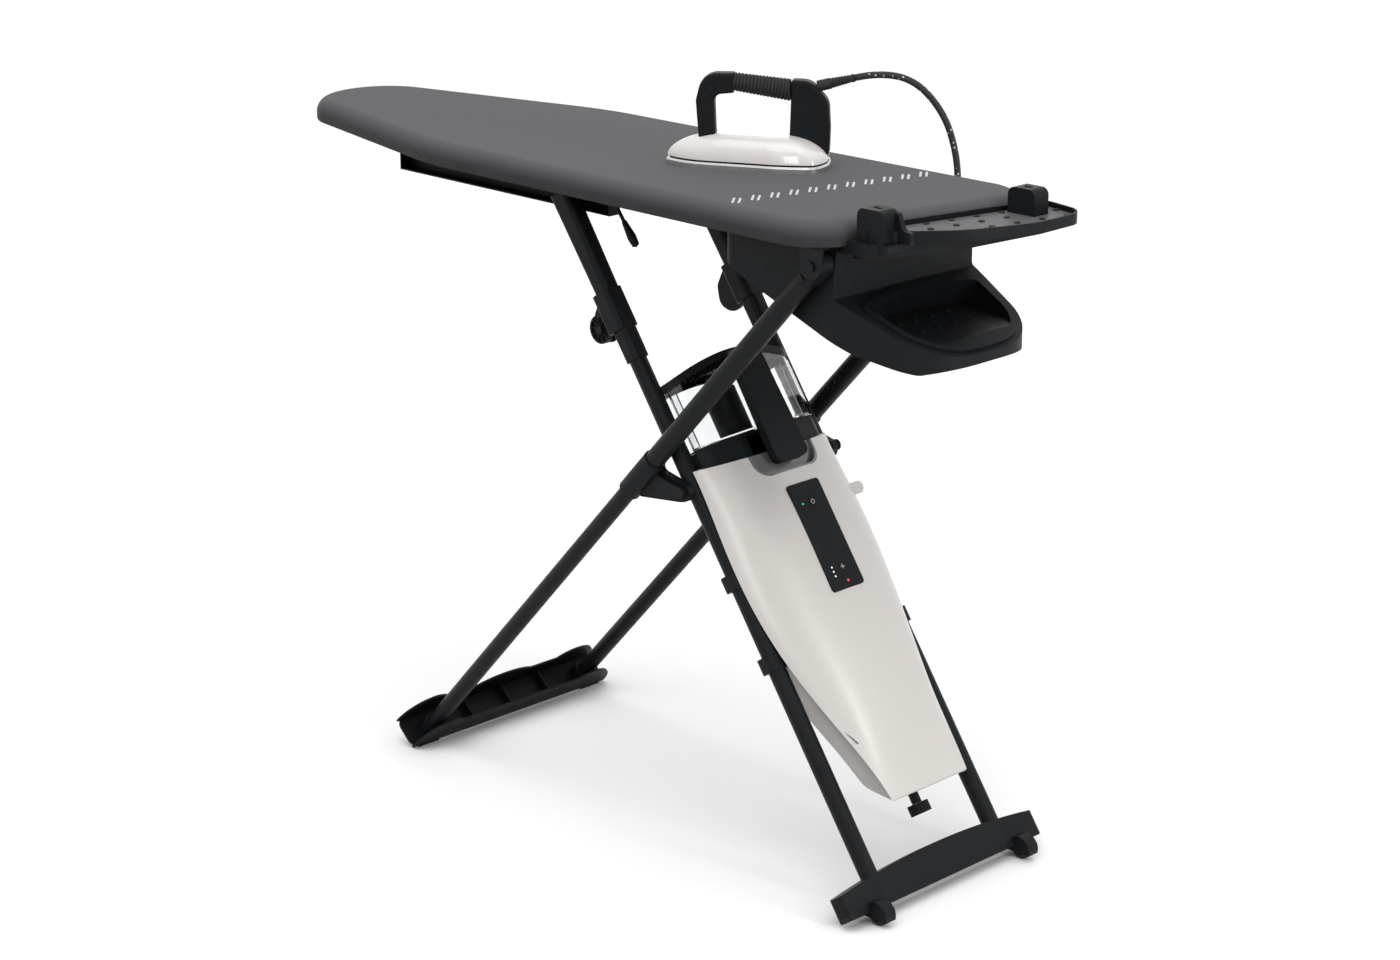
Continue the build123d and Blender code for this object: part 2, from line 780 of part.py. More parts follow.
def handle_footprint():
    """The room that the rear block of the handle takes in the cover."""
    return box(handle_seat_start, iron_length + handle_width, -handle_width / 2 - fit_gap,
               handle_width / 2 + fit_gap, sole_height + shield_height - overrun, cover_height + overrun)


def make_handle():
    """A closed loop handle: a bent front post, a core rod inside the grip and a deep rear block."""
    post = rounded(post_points, post_radii)
    front = side_plate(post, -handle_width / 2 + handle_cheek, handle_width / 2 - handle_cheek)
    front = fillet(flat_edges(front), handle_edge_radius)
    rear_outline = rounded(rear_points, rear_radii)
    rear = side_plate(rear_outline, -handle_width / 2, handle_width / 2)
    rear = fillet(flat_edges(rear), handle_edge_radius)
    core = grip_frame() * rod_z(grip_core_radius, 0, grip_length)
    front -= box(post_end, post_over, -handle_width, handle_width, post_under, post_over)
    button_pocket = rod_y(button_radius + fit_gap, -handle_width, 0, button_a, button_z)
    handle = handle_frame * (front + rear + core - button_pocket)
    nodes["iron_handle"] = handle - nodes["iron_cover"]


def flat_edges(plate):
    """The edges round both flat sides of a plate that stands along Y."""
    sides = plate.faces().sort_by(Axis.Y)
    return sides[0].edges() + sides[-1].edges()


handle_edge_radius = 4.0
grip_start = (90.0, 109.2)
grip_end = (170.0, 99.0)
grip_core_radius = 8.0
grip_radius_front = 12.4
grip_radius_rear = 14.8
grip_ribs = 17
grip_length = hypot(grip_end[0] - grip_start[0], grip_end[1] - grip_start[1])
grip_front_stop = 92.2
grip_rear_stop = 167.8
grip_rib_depth = 1.2
grip_rib_shares = (0.3, 0.7, 0.98)
button_radius = 5.0
button_a = 61.5
button_z = 102.0
button_proud = 0.8
button_seat = 2.0


def grip_frame():
    """The frame of the grip, with Z from its front end to its rear end."""
    tilt = 90 + degrees(asin((grip_start[1] - grip_end[1]) / grip_length))
    return Pos(grip_start[0], 0, grip_start[1]) * Rot(0, tilt, 0)


def make_grip():
    """A ribbed sleeve round the core rod, its ribs made by one stepped profile."""
    pitch = (grip_length - 4 * fit_gap) / grip_ribs
    rise, fall, end = grip_rib_shares
    points = [(grip_core_radius + fit_gap, 2 * fit_gap)]
    for i in range(grip_ribs):
        share = i / (grip_ribs - 1)
        radius = grip_radius_front + (grip_radius_rear - grip_radius_front) * share
        start = 2 * fit_gap + pitch * i
        valley = radius - grip_rib_depth
        points += [(valley, start), (radius, start + pitch * rise), (radius, start + pitch * fall),
                   (valley, start + pitch * end)]
    points.append((grip_core_radius + fit_gap, 2 * fit_gap + pitch * grip_ribs))
    profile = make_face(Polyline(*points, close=True))
    sleeve = revolve(Plane.XZ * profile, axis=Axis.Z)
    nodes["iron_grip"] = handle_frame * (grip_frame() * sleeve - box_ends())
    button = rod_y(button_radius, -handle_width / 2 - button_proud, -button_seat, button_a, button_z)
    nodes["steam_button"] = handle_frame * button


def box_ends():
    """The room that the post and the rear block take beside the sleeve."""
    front = box(0, grip_front_stop, -handle_width, handle_width, 0, post_over)
    rear = box(grip_rear_stop, iron_length, -handle_width, handle_width, 0, post_over)
    return front + rear


relief_start = (204.0, 105.0)
relief_tilt = 14.0
relief_length = 50.0
relief_radius_start = 7.5
relief_radius_end = 5.6
relief_rings = 7
relief_plain_share = 0.36
relief_ring_share = 0.58
relief_groove_shares = (0.15, 0.7)
relief_end_share = 0.96
relief_ring_depth = 1.0
cord_diameter = 9.2


def relief_frame():
    """The frame of the strain relief, with Z along the cord as it leaves the handle."""
    return Pos(relief_start[0], 0, relief_start[1]) * Rot(0, 90 - relief_tilt, 0)


def make_relief():
    """A tapered boot with rings, with a socket for the cord in its end."""
    points = [(0, 0), (relief_radius_start, 0)]
    step = relief_length * relief_ring_share / relief_rings
    fall, rise = relief_groove_shares
    for i in range(relief_rings):
        share = i / relief_rings
        radius = relief_radius_start + (relief_radius_end - relief_radius_start) * share
        start = relief_length * (relief_plain_share + relief_ring_share * share)
        groove = radius - relief_ring_depth
        points += [(radius, start), (groove, start + step * fall), (groove, start + step * rise)]
    points += [(relief_radius_end, relief_length * relief_end_share), (relief_radius_end, relief_length),
               (0, relief_length)]
    profile = make_face(Polyline(*points, close=True))
    boot = revolve(Plane.XZ * profile, axis=Axis.Z)
    boot = handle_frame * (relief_frame() * boot)
    nodes["iron_handle"] = nodes["iron_handle"] - boot
    nodes["iron_strain_relief"] = boot


# Cord of the iron: over the far edge of the board, then wound under it on a hook

coil_turn_gap = 0.7
coil_pitch = cord_diameter + coil_turn_gap
coil_inner_radius = 42.0
coil_quarters = 18
coil_centre_height = 822.0
coil_outer_y = 187.0
cord_outlet_height = 886.0
cord_drop_x = 1066.0
cord_drop_y = 191.5
outlet_radius = 10.0
outlet_length = 8.0
outlet_half_width = 12.0
outlet_front = 4.0
coil_clearance = 0.4
hook_arm = 3.0
hook_sole = 6.0
hook_lip = 1.0
hook_tip = 2.5
hook_slack = 0.2
hook_half_width = 5.0
tie_clearance = 0.6
tie_wall = 1.4
tie_half_width = 3.0
cord_bend_share = 0.45
cord_lead_share = 3.4
climb_share = 1.5
heading_step = 0.01
gap_samples = 700
gap_skip_share = 2.2


def coil_radius(step):
    """The radius of the winding after a number of quarter turns, in and then out again."""
    return coil_inner_radius + coil_pitch / 4 * abs(step - coil_quarters / 2)


coil_centre_x = cord_drop_x - coil_radius(0)


def coil_point(step):
    """The place of the winding after a number of quarter turns."""
    middle = coil_quarters / 2
    angle = -step * pi / 2
    climb = min(max((step - (middle - 1)) / 2, 0), 1)
    climb = climb * climb * (3 - 2 * climb)
    radius = coil_radius(step)
    return Vector(
        coil_centre_x + radius * cos(angle),
        coil_outer_y - coil_pitch * climb,
        coil_centre_height + radius * sin(angle),
    )


def coil_heading(step):
    """The direction of the winding there, square to the spoke at both ends and at the reversal."""
    if step in (0, coil_quarters / 2, coil_quarters):
        angle = -step * pi / 2
        flat = Vector(sin(angle), 0, -cos(angle))
        if step == coil_quarters / 2:
            flat = flat + Vector(0, -coil_pitch / (pi * coil_inner_radius) * climb_share, 0)
        return flat.normalized()
    return (coil_point(step + heading_step) - coil_point(step - heading_step)).normalized()


def biarc(p0, t0, p1, t1):
    """Two arcs that leave p0 along t0 and reach p1 along t1."""
    v = p1 - p0
    t = t0 + t1
    a = 2 * (1 - t0.dot(t1))
    b = 2 * v.dot(t)
    c = -v.dot(v)
    d = (-b + sqrt(b * b - 4 * a * c)) / (2 * a) if a > 1e-9 else -c / b
    joint = (p0 + t0 * d + p1 - t1 * d) * 0.5
    first = TangentArc(p0, joint, tangent=t0)
    second = TangentArc(joint, p1, tangent=first % 1)
    return [first, second]


def cord_route():
    """The points of the cord from the strain relief to the top of the coil, chosen by hand."""
    lead = Vector(cord_drop_x, coil_outer_y, coil_centre_height + cord_diameter)
    begin = (handle_frame * relief_frame() * Pos(0, 0, relief_length)).position
    ahead = (handle_frame * relief_frame() * Pos(0, 0, relief_length + cord_lead_share * cord_diameter)).position
    return [
        begin,
        ahead,
        Vector(1013.0, 159.0, 1046.0),
        Vector(1045.0, 181.5, 1004.0),
        Vector(1060.5, 191.0, 953.0),
        Vector(cord_drop_x, cord_drop_y, 905.0),
        Vector(cord_drop_x, coil_outer_y, 868.0),
        lead,
    ]


def route_radii(points):
    """The largest tangent arcs that the runs beside each corner allow."""
    radii = []
    for before, here, after in zip(points, points[1:], points[2:]):
        turn = radians((here - before).get_angle(after - here))
        shorter = min((here - before).length, (after - here).length)
        radii.append(cord_bend_share * shorter / tan(turn / 2))
    return radii


def sweep_cord(path, start, heading):
    """A round tube along a path."""
    plane = Plane(origin=start, z_dir=heading)
    return sweep(plane * Circle(cord_diameter / 2), path=path)


def make_cord():
    """The free stretch and the coil, as one unbroken line in two pieces."""
    points = cord_route()
    radii = route_radii(points)
    path = FilletPolyline(*points, radius=radii)
    print("cord arc radii", [round(r, 1) for r in radii])
    nodes["iron_cord"] = sweep_cord(path, points[0], (points[1] - points[0]).normalized())
    volume = pi * cord_diameter ** 2 / 4 * path.length
    print("cord stretch", round(path.length, 1), "volume share", round(nodes["iron_cord"].volume / volume, 4))
    lead = Line(points[-1], coil_point(0))
    pieces = [lead]
    for step in range(coil_quarters):
        pieces += biarc(coil_point(step), coil_heading(step), coil_point(step + 1), coil_heading(step + 1))
    last = coil_point(coil_quarters)
    up = Vector(last.X, last.Y, cord_outlet_height)
    pieces.append(Line(last, up))
    wire = Wire(pieces)
    coil = sweep_cord(wire, points[-1], Vector(0, 0, -1))
    nodes["iron_cord_coil"] = coil
    print("coil length", round(wire.length, 1), "volume share",
          round(coil.volume / (pi * cord_diameter ** 2 / 4 * wire.length), 4))
    print("least gap in the coil", round(least_gap(wire), 2))
    return last


def least_gap(wire):
    """The least distance between turns, measured on points along the wire."""
    places = [wire.position_at(i / gap_samples) for i in range(gap_samples + 1)]
    step = wire.length / gap_samples
    skip = int(gap_skip_share * cord_diameter / step)
    best = wire.length
    for i, one in enumerate(places):
        for other in places[i + skip:]:
            best = min(best, (one - other).length)
    return best - cord_diameter


def make_cord_fittings(last):
    """The hook and the outlet under the deck, and the tie round the coil."""
    under_deck = deck_top - fit_gap - sheet
    low = board_bottom + overrun
    back_y = last.Y - outlet_radius
    outlet = rod_z(outlet_radius, cord_outlet_height, cord_outlet_height + outlet_length, last.X, last.Y)
    outlet += box(last.X - outlet_half_width, last.X + outlet_half_width, back_y, last.Y + outlet_front,
                  low, under_deck)
    inner = coil_centre_height + coil_inner_radius - cord_diameter
    y0 = coil_outer_y - coil_pitch - cord_diameter / 2 - coil_clearance
    y1 = coil_outer_y + cord_diameter / 2 + coil_clearance
    hook = rounded(
        [
            (y0 - hook_arm, under_deck), (y0 - hook_arm, inner - hook_sole), (y1 + hook_lip, inner - hook_sole),
            (y1 + hook_lip, inner + hook_arm), (y1 - hook_tip, inner + hook_arm),
            (y1 - hook_tip, inner - hook_tip), (y0 - hook_slack, inner - hook_tip), (y0 - hook_slack, under_deck),
        ],
        [crisp_corner, hook_arm, hook_arm] + 5 * [crisp_corner],
    )
    hook = front_plate(hook, coil_centre_x - hook_half_width, coil_centre_x + hook_half_width)
    bridge = box(last.X - outlet_half_width, coil_centre_x + hook_half_width, back_y, last.Y - outlet_front,
                 low, under_deck)
    nodes["cord_outlet"] = outlet + hook + bridge - nodes["board_cover"] - nodes["board_deck"]
    outer = coil_radius(0) + cord_diameter / 2 + tie_clearance
    inner = coil_inner_radius - cord_diameter / 2 - tie_clearance
    ring = box(-tie_half_width, tie_half_width, y0 - tie_wall, y1 + tie_wall,
               -outer - tie_wall, -inner + tie_wall)
    ring -= box(-tie_half_width - overrun, tie_half_width + overrun, y0, y1, -outer, -inner)
    ring = Pos(coil_centre_x, 0, coil_centre_height) * ring
    nodes["cord_tie"] = ring


# Leg A, the outer frame: two stepped tubes, coupling sleeves and the channel foot

leg_a_lower = 24.0
leg_a_upper = 28.0
tube_wall = 1.6
sleeve_end_gap = 5.0
sleeve_length = 73.0
sleeve_end = cross_station_a - sleeve_end_gap
sleeve_start = sleeve_end - sleeve_length
leg_a_joint = (sleeve_start + sleeve_end) / 2
leg_a_overlap = 60.0
sleeve_diameter = 32.0
eye_neck = 16.0
eye_block = 10.0
eye_collar = 8.0
eye_plug = 50.0
arm_thickness = 10.0
arm_gap = 1.3
arm_back = 4.0
arm_start_gap = 6.0
arm_shoulder = 4.0
arm_low_share = 0.5
arm_drop = 3.0
arm_high_share = 0.3
arm_end_gap = 8.0
arm_edge_radius = 2.0
arm_low_radius = 4.0
arm_high_radius = 8.0
arm_boss_radius = 9.0
arm_rib_height = 7.0
arm_rib_inset = 5.0
cross_boss_radius = 15.0
cross_pin_radius = 5.0
cross_pin_end = 2.0
cross_head_extra = 3.0
cross_head_height = 2.5


def make_leg_a_tubes():
    """Lower and upper tube, the flattened eye and the pin through it."""
    shift = Pos(0, -leg_a_offset, 0)
    lower = pipe(leg_a_lower, leg_a_lower - 2 * tube_wall, -foot_a_depth + plastic_wall,
                 leg_a_joint + leg_a_overlap)
    upper = pipe(leg_a_upper, leg_a_lower + 2 * fit_gap, leg_a_joint, leg_a_length - eye_radius - eye_neck)
    nodes["leg_a_lower_tubes"] = both_sides(leg_a_frame * (shift * lower))
    nodes["leg_a_upper_tubes"] = both_sides(leg_a_frame * (shift * upper))
    eye = rod_y(eye_radius, -eye_width / 2, eye_width / 2, 0, leg_a_length)
    top = leg_a_length - eye_radius
    eye += box(-eye_radius, eye_radius, -eye_width / 2, eye_width / 2, top - eye_block, leg_a_length)
    eye += rod_z(leg_a_upper / 2, top - eye_neck, top - eye_collar)
    eye += rod_z(leg_a_lower / 2, top - eye_plug, top - eye_neck)
    eye -= rod_y(pivot_pin_radius + pin_play, -eye_width, eye_width, 0, leg_a_length)
    nodes["leg_a_eyes"] = both_sides(leg_a_frame * (shift * eye))


def make_sleeves():
    """Moulded couplings on the outer tubes, whose arms hold the crossing pins."""
    offset_c = cross_offset_a
    station_c = cross_station_a
    inner = -leg_b_offset - leg_b_tube / 2 - arm_gap
    sleeve = Pos(0, -leg_a_offset, 0) * rod_z(sleeve_diameter / 2, sleeve_start, sleeve_end)
    arm = rounded(
        [
            (-arm_back, sleeve_start + arm_start_gap),
            (sleeve_diameter / 2, sleeve_start + arm_shoulder),
            (offset_c + cross_boss_radius * arm_low_share, station_c - cross_boss_radius),
            (offset_c + cross_boss_radius, station_c - arm_drop),
            (offset_c + cross_boss_radius * arm_high_share, station_c + cross_boss_radius),
            (sleeve_diameter / 2, sleeve_end - arm_end_gap),
            (-arm_back, sleeve_end - arm_shoulder),
        ],
        [arm_edge_radius, arm_low_radius, arm_boss_radius, arm_boss_radius, arm_boss_radius, arm_high_radius,
         arm_edge_radius],
    )
    sleeve += side_plate(arm, inner - arm_thickness, inner)
    rib_end = inner - arm_thickness - arm_rib_height
    sleeve += side_plate(offset(arm, amount=-arm_rib_inset), rib_end, inner - arm_thickness)
    tubes = rod_z(leg_a_lower / 2, sleeve_start - overrun, leg_a_joint)
    tubes += rod_z(leg_a_upper / 2, leg_a_joint, sleeve_end + overrun)
    sleeve -= Pos(0, -leg_a_offset, 0) * tubes
    sleeve -= rod_y(cross_pin_radius, 2 * rib_end, inner + overrun, offset_c, station_c)
    nodes["coupling_sleeves"] = both_sides(leg_a_frame * sleeve)
    pin = rod_y(cross_pin_radius, rib_end, -leg_b_offset + leg_b_tube / 2 + cross_pin_end, offset_c, station_c)
    pin += rod_y(cross_pin_radius + cross_head_extra, rib_end - cross_head_height, rib_end, offset_c, station_c)
    nodes["crossing_pins"] = both_sides(leg_a_frame * pin)


foot_a_depth = 54.0
foot_a_back = -31.0
foot_a_front = 19.0
foot_a_wall = 3.0
foot_end_hump = 50.0
foot_hump_place = 146.0
foot_middle_hump_share = 1.6
foot_corner = 14.0
foot_back_heights = (-22.0, -8.0, -9.0)
foot_front_heights = (-12.0, -3.0, -20.0)
foot_socket_wall = 4.0
foot_socket_height = 24.0
foot_rib_shares = (-0.5, 0, 0.5)
foot_rib = 3.0
foot_rib_height = 16.0
pad_back = 15.0
pad_front = 8.0
pad_inset = 12.0
pad_width = 40.0
pad_height = 9.0
pad_corner = 4.0
foot_clearance = 1.0


def wall_outline(straight, hump, middle):
    """A wall of the channel foot seen along X: level, with a hump at each end and one in the middle."""
    low = -foot_a_depth
    shape = Pos(0, (low + straight) / 2) * Rectangle(2 * foot_hump_place, straight - low)
    for side in (-1, 1):
        shape += Pos(side * foot_hump_place, low) * Ellipse(foot_end_hump, hump - low)
    if middle > straight:
        shape += Pos(0, low) * Ellipse(foot_middle_hump_share * foot_end_hump, middle - low)
    floor_line = Pos(0, low - foot_end_hump) * Rectangle(4 * foot_hump_place, 2 * foot_end_hump)
    return shape - floor_line


def make_foot_a():
    """The channel foot: a floor, a low front lip and a higher back wall, with sockets for the tubes."""
    half = footprint_half_width
    floor = box(foot_a_back, foot_a_front, -half, half, -foot_a_depth, -foot_a_depth + foot_a_wall)
    floor = fillet(floor.edges().filter_by(Axis.Z), foot_corner)
    back = front_plate(wall_outline(*foot_back_heights), foot_a_back, foot_a_back + foot_a_wall)
    front = front_plate(wall_outline(*foot_front_heights), foot_a_front - foot_a_wall, foot_a_front)
    foot = floor + back + front
    socket = pipe(leg_a_lower + 2 * foot_socket_wall, leg_a_lower, -foot_a_depth + foot_a_wall,
                  -foot_a_depth + foot_socket_height)
    foot += both_sides(Pos(0, -leg_a_offset, 0) * socket)
    for share in foot_rib_shares:
        y = share * leg_a_offset
        foot += box(foot_a_back, foot_a_front, y - foot_rib / 2, y + foot_rib / 2, -foot_a_depth,
                    -foot_a_depth + foot_rib_height)
    foot = leg_a_frame * foot
    corner = leg_a_frame * Pos(foot_a_front, 0, -foot_a_depth)
    x = corner.position.X
    pad = box(x - pad_back, x + pad_front, -half + pad_inset, -half + pad_inset + pad_width, 0, pad_height)
    pad = fillet(pad.edges().filter_by(Axis.Z), pad_corner)
    above = box(2 * foot_a_back, 2 * foot_a_front, -2 * half, 2 * half, -foot_a_depth, foot_a_depth)
    pads = both_sides(pad) - leg_a_frame * above
    under_foot = box(0, board_length, -board_length, board_length, -foot_a_depth, foot_clearance)
    nodes["foot_a_channel"] = foot - under_foot
    nodes["foot_a_pads"] = pads


# Leg B, the inner frame: two tubes with moulded upper sleeves, transport wheels and the beam foot

leg_b_tube = 25.0
leg_b_foot = 36.0
leg_b_top_gap = 20.0
upper_sleeve_over = 17.0
upper_sleeve_length = 258.0
upper_sleeve_bend_drop = 159.0
wheel_drop = 195.0
upper_sleeve_end = leg_b_length + upper_sleeve_over
upper_sleeve_start = upper_sleeve_end - upper_sleeve_length
upper_sleeve_bend = upper_sleeve_end - upper_sleeve_bend_drop
upper_sleeve_low = 28.0
upper_sleeve_middle = 30.0
upper_sleeve_slant = 11.0
upper_sleeve_corner = 9.0
upper_sleeve_high = 36.0
upper_sleeve_width = 27.0
slider_pin_radius = 5.0
wheel_radius = 20.0
wheel_width = 10.0
wheel_station = upper_sleeve_end - wheel_drop
wheel_back = -37.0
wheel_spokes = 10
wheel_groove = 3.0
wheel_rim_share = 0.84
wheel_hub_share = 0.26
wheel_spoke_shares = (0.2, 0.86)
wheel_spoke = 1.8
wheel_spoke_sink = 1.0
wheel_outset = 3.0
wheel_side_gap = 0.8
bracket_front = 14.0
bracket_rise = 44.0
bracket_drop = 20.0
bracket_toe = 3.0
bracket_reach = 2.0
bracket_heel_drop = 4.0
bracket_neck = 10.0
bracket_radii = (2.0, 4.0, 16.0, 18.0, 14.0)
clamp_drop = 18.0
clamp_rise = 40.0
clamp_back = 19.0
clamp_front = 15.0
clamp_half_width = 17.0
clamp_corner = 8.0
clamp_mouth = 60.0
clamp_side_gap = 1.2
wheel_turn_gap = 1.5
axle_radius = 3.0
axle_end = 1.0
axle_cap_extra = 2.5
axle_cap_height = 1.8
axle_cap_gap = 0.4
roller_gap = 1.0
roller_share = 0.7


def upper_sleeve_block():
    """The near upper sleeve without its bore: an oblong that grows deeper towards the board."""
    sections = []
    for station, depth in ((upper_sleeve_start, upper_sleeve_low), (upper_sleeve_bend, upper_sleeve_middle),
                           (upper_sleeve_end, upper_sleeve_high)):
        face = RectangleRounded(depth, upper_sleeve_width, upper_sleeve_corner)
        sections.append(Pos(0, -leg_b_offset, station) * face)
    return loft(sections, ruled=True)


def make_leg_b_tubes():
    """Tubes, upper sleeves, slider pins and rollers."""
    shift = Pos(0, -leg_b_offset, 0)
    tube = shift * pipe(leg_b_tube, leg_b_tube - 2 * tube_wall, -leg_b_foot,
                        leg_b_length - leg_b_top_gap)
    offset_c = rod_y(cross_pin_radius + pin_play, -2 * leg_b_offset, 0, 0, cross_station_b)
    nodes["leg_b_tubes"] = both_sides(leg_b_frame * (tube - offset_c))
    reach = upper_sleeve_width + plastic_wall
    end_cut = rounded(
        [(-reach, upper_sleeve_start - reach), (reach, upper_sleeve_start - reach),
         (reach, upper_sleeve_end - upper_sleeve_slant), (-reach, upper_sleeve_end)],
        [sheet, sheet, upper_sleeve_width / 2, upper_sleeve_width / 2],
    )
    sleeve = upper_sleeve_block() & side_plate(end_cut, -2 * leg_b_offset, 0)
    sleeve -= shift * rod_z(leg_b_tube / 2, upper_sleeve_start - overrun, leg_b_length - leg_b_top_gap)
    sleeve -= rod_y(slider_pin_radius, -2 * leg_b_offset, 0, 0, leg_b_length)
    nodes["leg_b_upper_sleeves"] = both_sides(leg_b_frame * sleeve)
    inner_end = -rail_web_inner - sheet - roller_gap
    pin = rod_y(slider_pin_radius, -leg_b_offset - upper_sleeve_width / 2, inner_end, 0, leg_b_length)
    head = rod_y(roller_radius, inner_end - rail_width * roller_share, inner_end, 0, leg_b_length)
    nodes["slider_pins"] = both_sides(leg_b_frame * (pin + head))


def spoked_wheel(radius, width, spokes):
    """A wheel about Y: rim, thin web, hub and raised spokes."""
    wheel = rod_y(radius, -width / 2, width / 2)
    groove = rod_y(radius * wheel_rim_share, width / 2 - wheel_groove, width / 2 + overrun)
    groove -= rod_y(radius * wheel_hub_share, 0, width)
    wheel = wheel - groove - mirrored(groove)
    inner, outer = wheel_spoke_shares
    half = width / 2 - wheel_spoke_sink
    for i in range(spokes):
        spoke = box(radius * inner, radius * outer, -half, half, -wheel_spoke / 2, wheel_spoke / 2)
        wheel += Rot(0, i * 360 / spokes, 0) * spoke
    return wheel


def make_transport_wheels():
    """Brackets clamped round the upper sleeves, axles and the two spoked wheels."""
    y = -leg_b_offset - wheel_outset
    wheel_end = y - wheel_width / 2
    plate_y0 = y + wheel_width / 2 + wheel_side_gap
    plate_y1 = plate_y0 + plastic_wall
    outline = rounded(
        [
            (-bracket_front, wheel_station + bracket_rise),
            (-bracket_front, wheel_station - bracket_drop),
            (wheel_back, wheel_station - wheel_radius - bracket_toe),
            (wheel_back - wheel_radius - bracket_reach, wheel_station - bracket_heel_drop),
            (wheel_back - bracket_neck, wheel_station + wheel_radius + bracket_heel_drop),
        ],
        bracket_radii,
    )
    bracket = side_plate(outline, plate_y0, plate_y1)
    clamp_low = wheel_station - clamp_drop
    clamp_high = wheel_station + clamp_rise
    clamp = box(-clamp_back, clamp_front, -leg_b_offset - clamp_half_width, -leg_b_offset + clamp_half_width,
                clamp_low, clamp_high)
    clamp = fillet(clamp.edges().filter_by(Axis.Z), clamp_corner)
    clamp -= box(-clamp_mouth, -bracket_front, wheel_end - clamp_side_gap, plate_y0,
                 clamp_low - overrun, clamp_high + overrun)
    bracket = bracket + clamp - upper_sleeve_block()
    bracket -= rod_y(wheel_radius + wheel_turn_gap, wheel_end - axle_end, plate_y0, wheel_back, wheel_station)
    nodes["wheel_brackets"] = both_sides(leg_b_frame * bracket)
    axle = rod_y(axle_radius, wheel_end - axle_end, plate_y1, wheel_back, wheel_station)
    cap_start = wheel_end - axle_cap_gap - axle_cap_height
    axle += rod_y(axle_radius + axle_cap_extra, cap_start, wheel_end - axle_cap_gap, wheel_back, wheel_station)
    nodes["wheel_axles"] = both_sides(leg_b_frame * (axle - bracket))
    bore = rod_y(axle_radius + pin_play, -wheel_width, wheel_width)
    wheel = spoked_wheel(wheel_radius, wheel_width, wheel_spokes) - bore
    add_pair("transport_wheel", leg_b_frame * (Pos(wheel_back, y, wheel_station) * wheel))


beam_back = -15.0
beam_front = 13.0
beam_low = -41.0
beam_end_high = -6.0
beam_middle_high = 8.0
beam_bevel = 6.0
beam_corner = 9.0
beam_end_wall = 12.0
beam_rib = 3.0
beam_rib_shares = (-0.975, -0.65, -0.325, 0, 0.325, 0.65, 0.975)
beam_tube_room = 20.0
caster_radius = 14.5
caster_width = 13.0
caster_inset = 50.0
caster_reach = 39.4
caster_gap = 2.0
caster_side_gap = 0.8
caster_well_gap = 1.0
caster_axle_radius = 2.5
caster_hub_radius = 5.0
caster_edge = 1.5
caster_dish_share = 0.6
caster_offset = footprint_half_width - caster_inset
caster_x = foot_b_x + caster_reach
caster_wall = 2.4
hood_open_height = 5.0
foot_b_clearance = 2.0


def caster_rod(radius, side):
    """A rod about the near caster's axle, reaching a length past both sides of its wheel."""
    half = caster_width / 2 + side
    return rod_y(radius, -caster_offset - half, -caster_offset + half, caster_x, caster_radius)


def make_foot_b():
    """The arched beam, hollow from below with ribs, and the two casters in its ends."""
    half = footprint_half_width
    shoulder = beam_low + beam_bevel
    arch = make_face(
        Curve() + [
            Line((-half, shoulder), (-half, beam_end_high)),
            ThreePointArc((-half, beam_end_high), (0, beam_middle_high), (half, beam_end_high)),
            Line((half, beam_end_high), (half, shoulder)),
            Line((half, shoulder), (half - beam_bevel, beam_low)),
            Line((half - beam_bevel, beam_low), (-half + beam_bevel, beam_low)),
            Line((-half + beam_bevel, beam_low), (-half, shoulder)),
        ]
    )
    beam = front_plate(arch, beam_back, beam_front)
    beam = fillet(beam.edges().filter_by(Axis.Z), beam_corner)
    hollow = box(beam_back + plastic_wall, beam_front - plastic_wall, -half + beam_end_wall, half - beam_end_wall,
                 beam_low - overrun, beam_end_high - plastic_wall)
    for share in beam_rib_shares:
        y = share * leg_b_offset
        hollow -= box(beam_back, beam_front, y - beam_rib / 2, y + beam_rib / 2,
                      beam_low - overrun, beam_end_high)
    shift = Pos(0, -leg_b_offset, 0)
    hollow -= both_sides(shift * rod_z(leg_b_tube / 2 + plastic_wall, beam_low, beam_end_high))
    beam -= hollow
    beam -= both_sides(shift * rod_z(leg_b_tube / 2, -leg_b_foot, beam_tube_room))
    beam = leg_b_frame * beam
    beam -= both_sides(caster_rod(caster_radius + caster_gap + caster_wall / 2, caster_wall + caster_well_gap))
    beam -= box(0, 2 * board_length, -half * 2, half * 2, -foot_a_depth, foot_b_clearance)
    hood = caster_rod(caster_radius + caster_gap + caster_wall, caster_wall + caster_side_gap)
    hood -= caster_rod(caster_radius + caster_gap, caster_side_gap)
    hood -= box(caster_x - 2 * caster_radius, caster_x + 2 * caster_radius, -2 * half, 0, -caster_radius,
                caster_radius - hood_open_height)
    axle = caster_rod(caster_axle_radius, caster_wall + caster_side_gap)
    nodes["foot_b_beam"] = beam + both_sides(hood - axle)
    nodes["wheel_axles"] = nodes["wheel_axles"] + both_sides(axle)
    tyre = rod_y(caster_radius, -caster_width / 2, caster_width / 2)
    tyre -= rod_y(caster_axle_radius + pin_play, -caster_width, caster_width)
    tyre = fillet(tyre.edges().filter_by(GeomType.CIRCLE).group_by(SortBy.RADIUS)[-1], caster_edge)
    dish = rod_y(caster_radius * caster_dish_share, -caster_width, -caster_width / 2 + caster_edge)
    tyre -= both_sides(dish - rod_y(caster_hub_radius, -2 * caster_width, 0))
    add_pair("caster_wheel", Pos(caster_x, -caster_offset, caster_radius) * tyre)


# Steam generator hung between the tubes of leg B, drawn upright with its front along +X

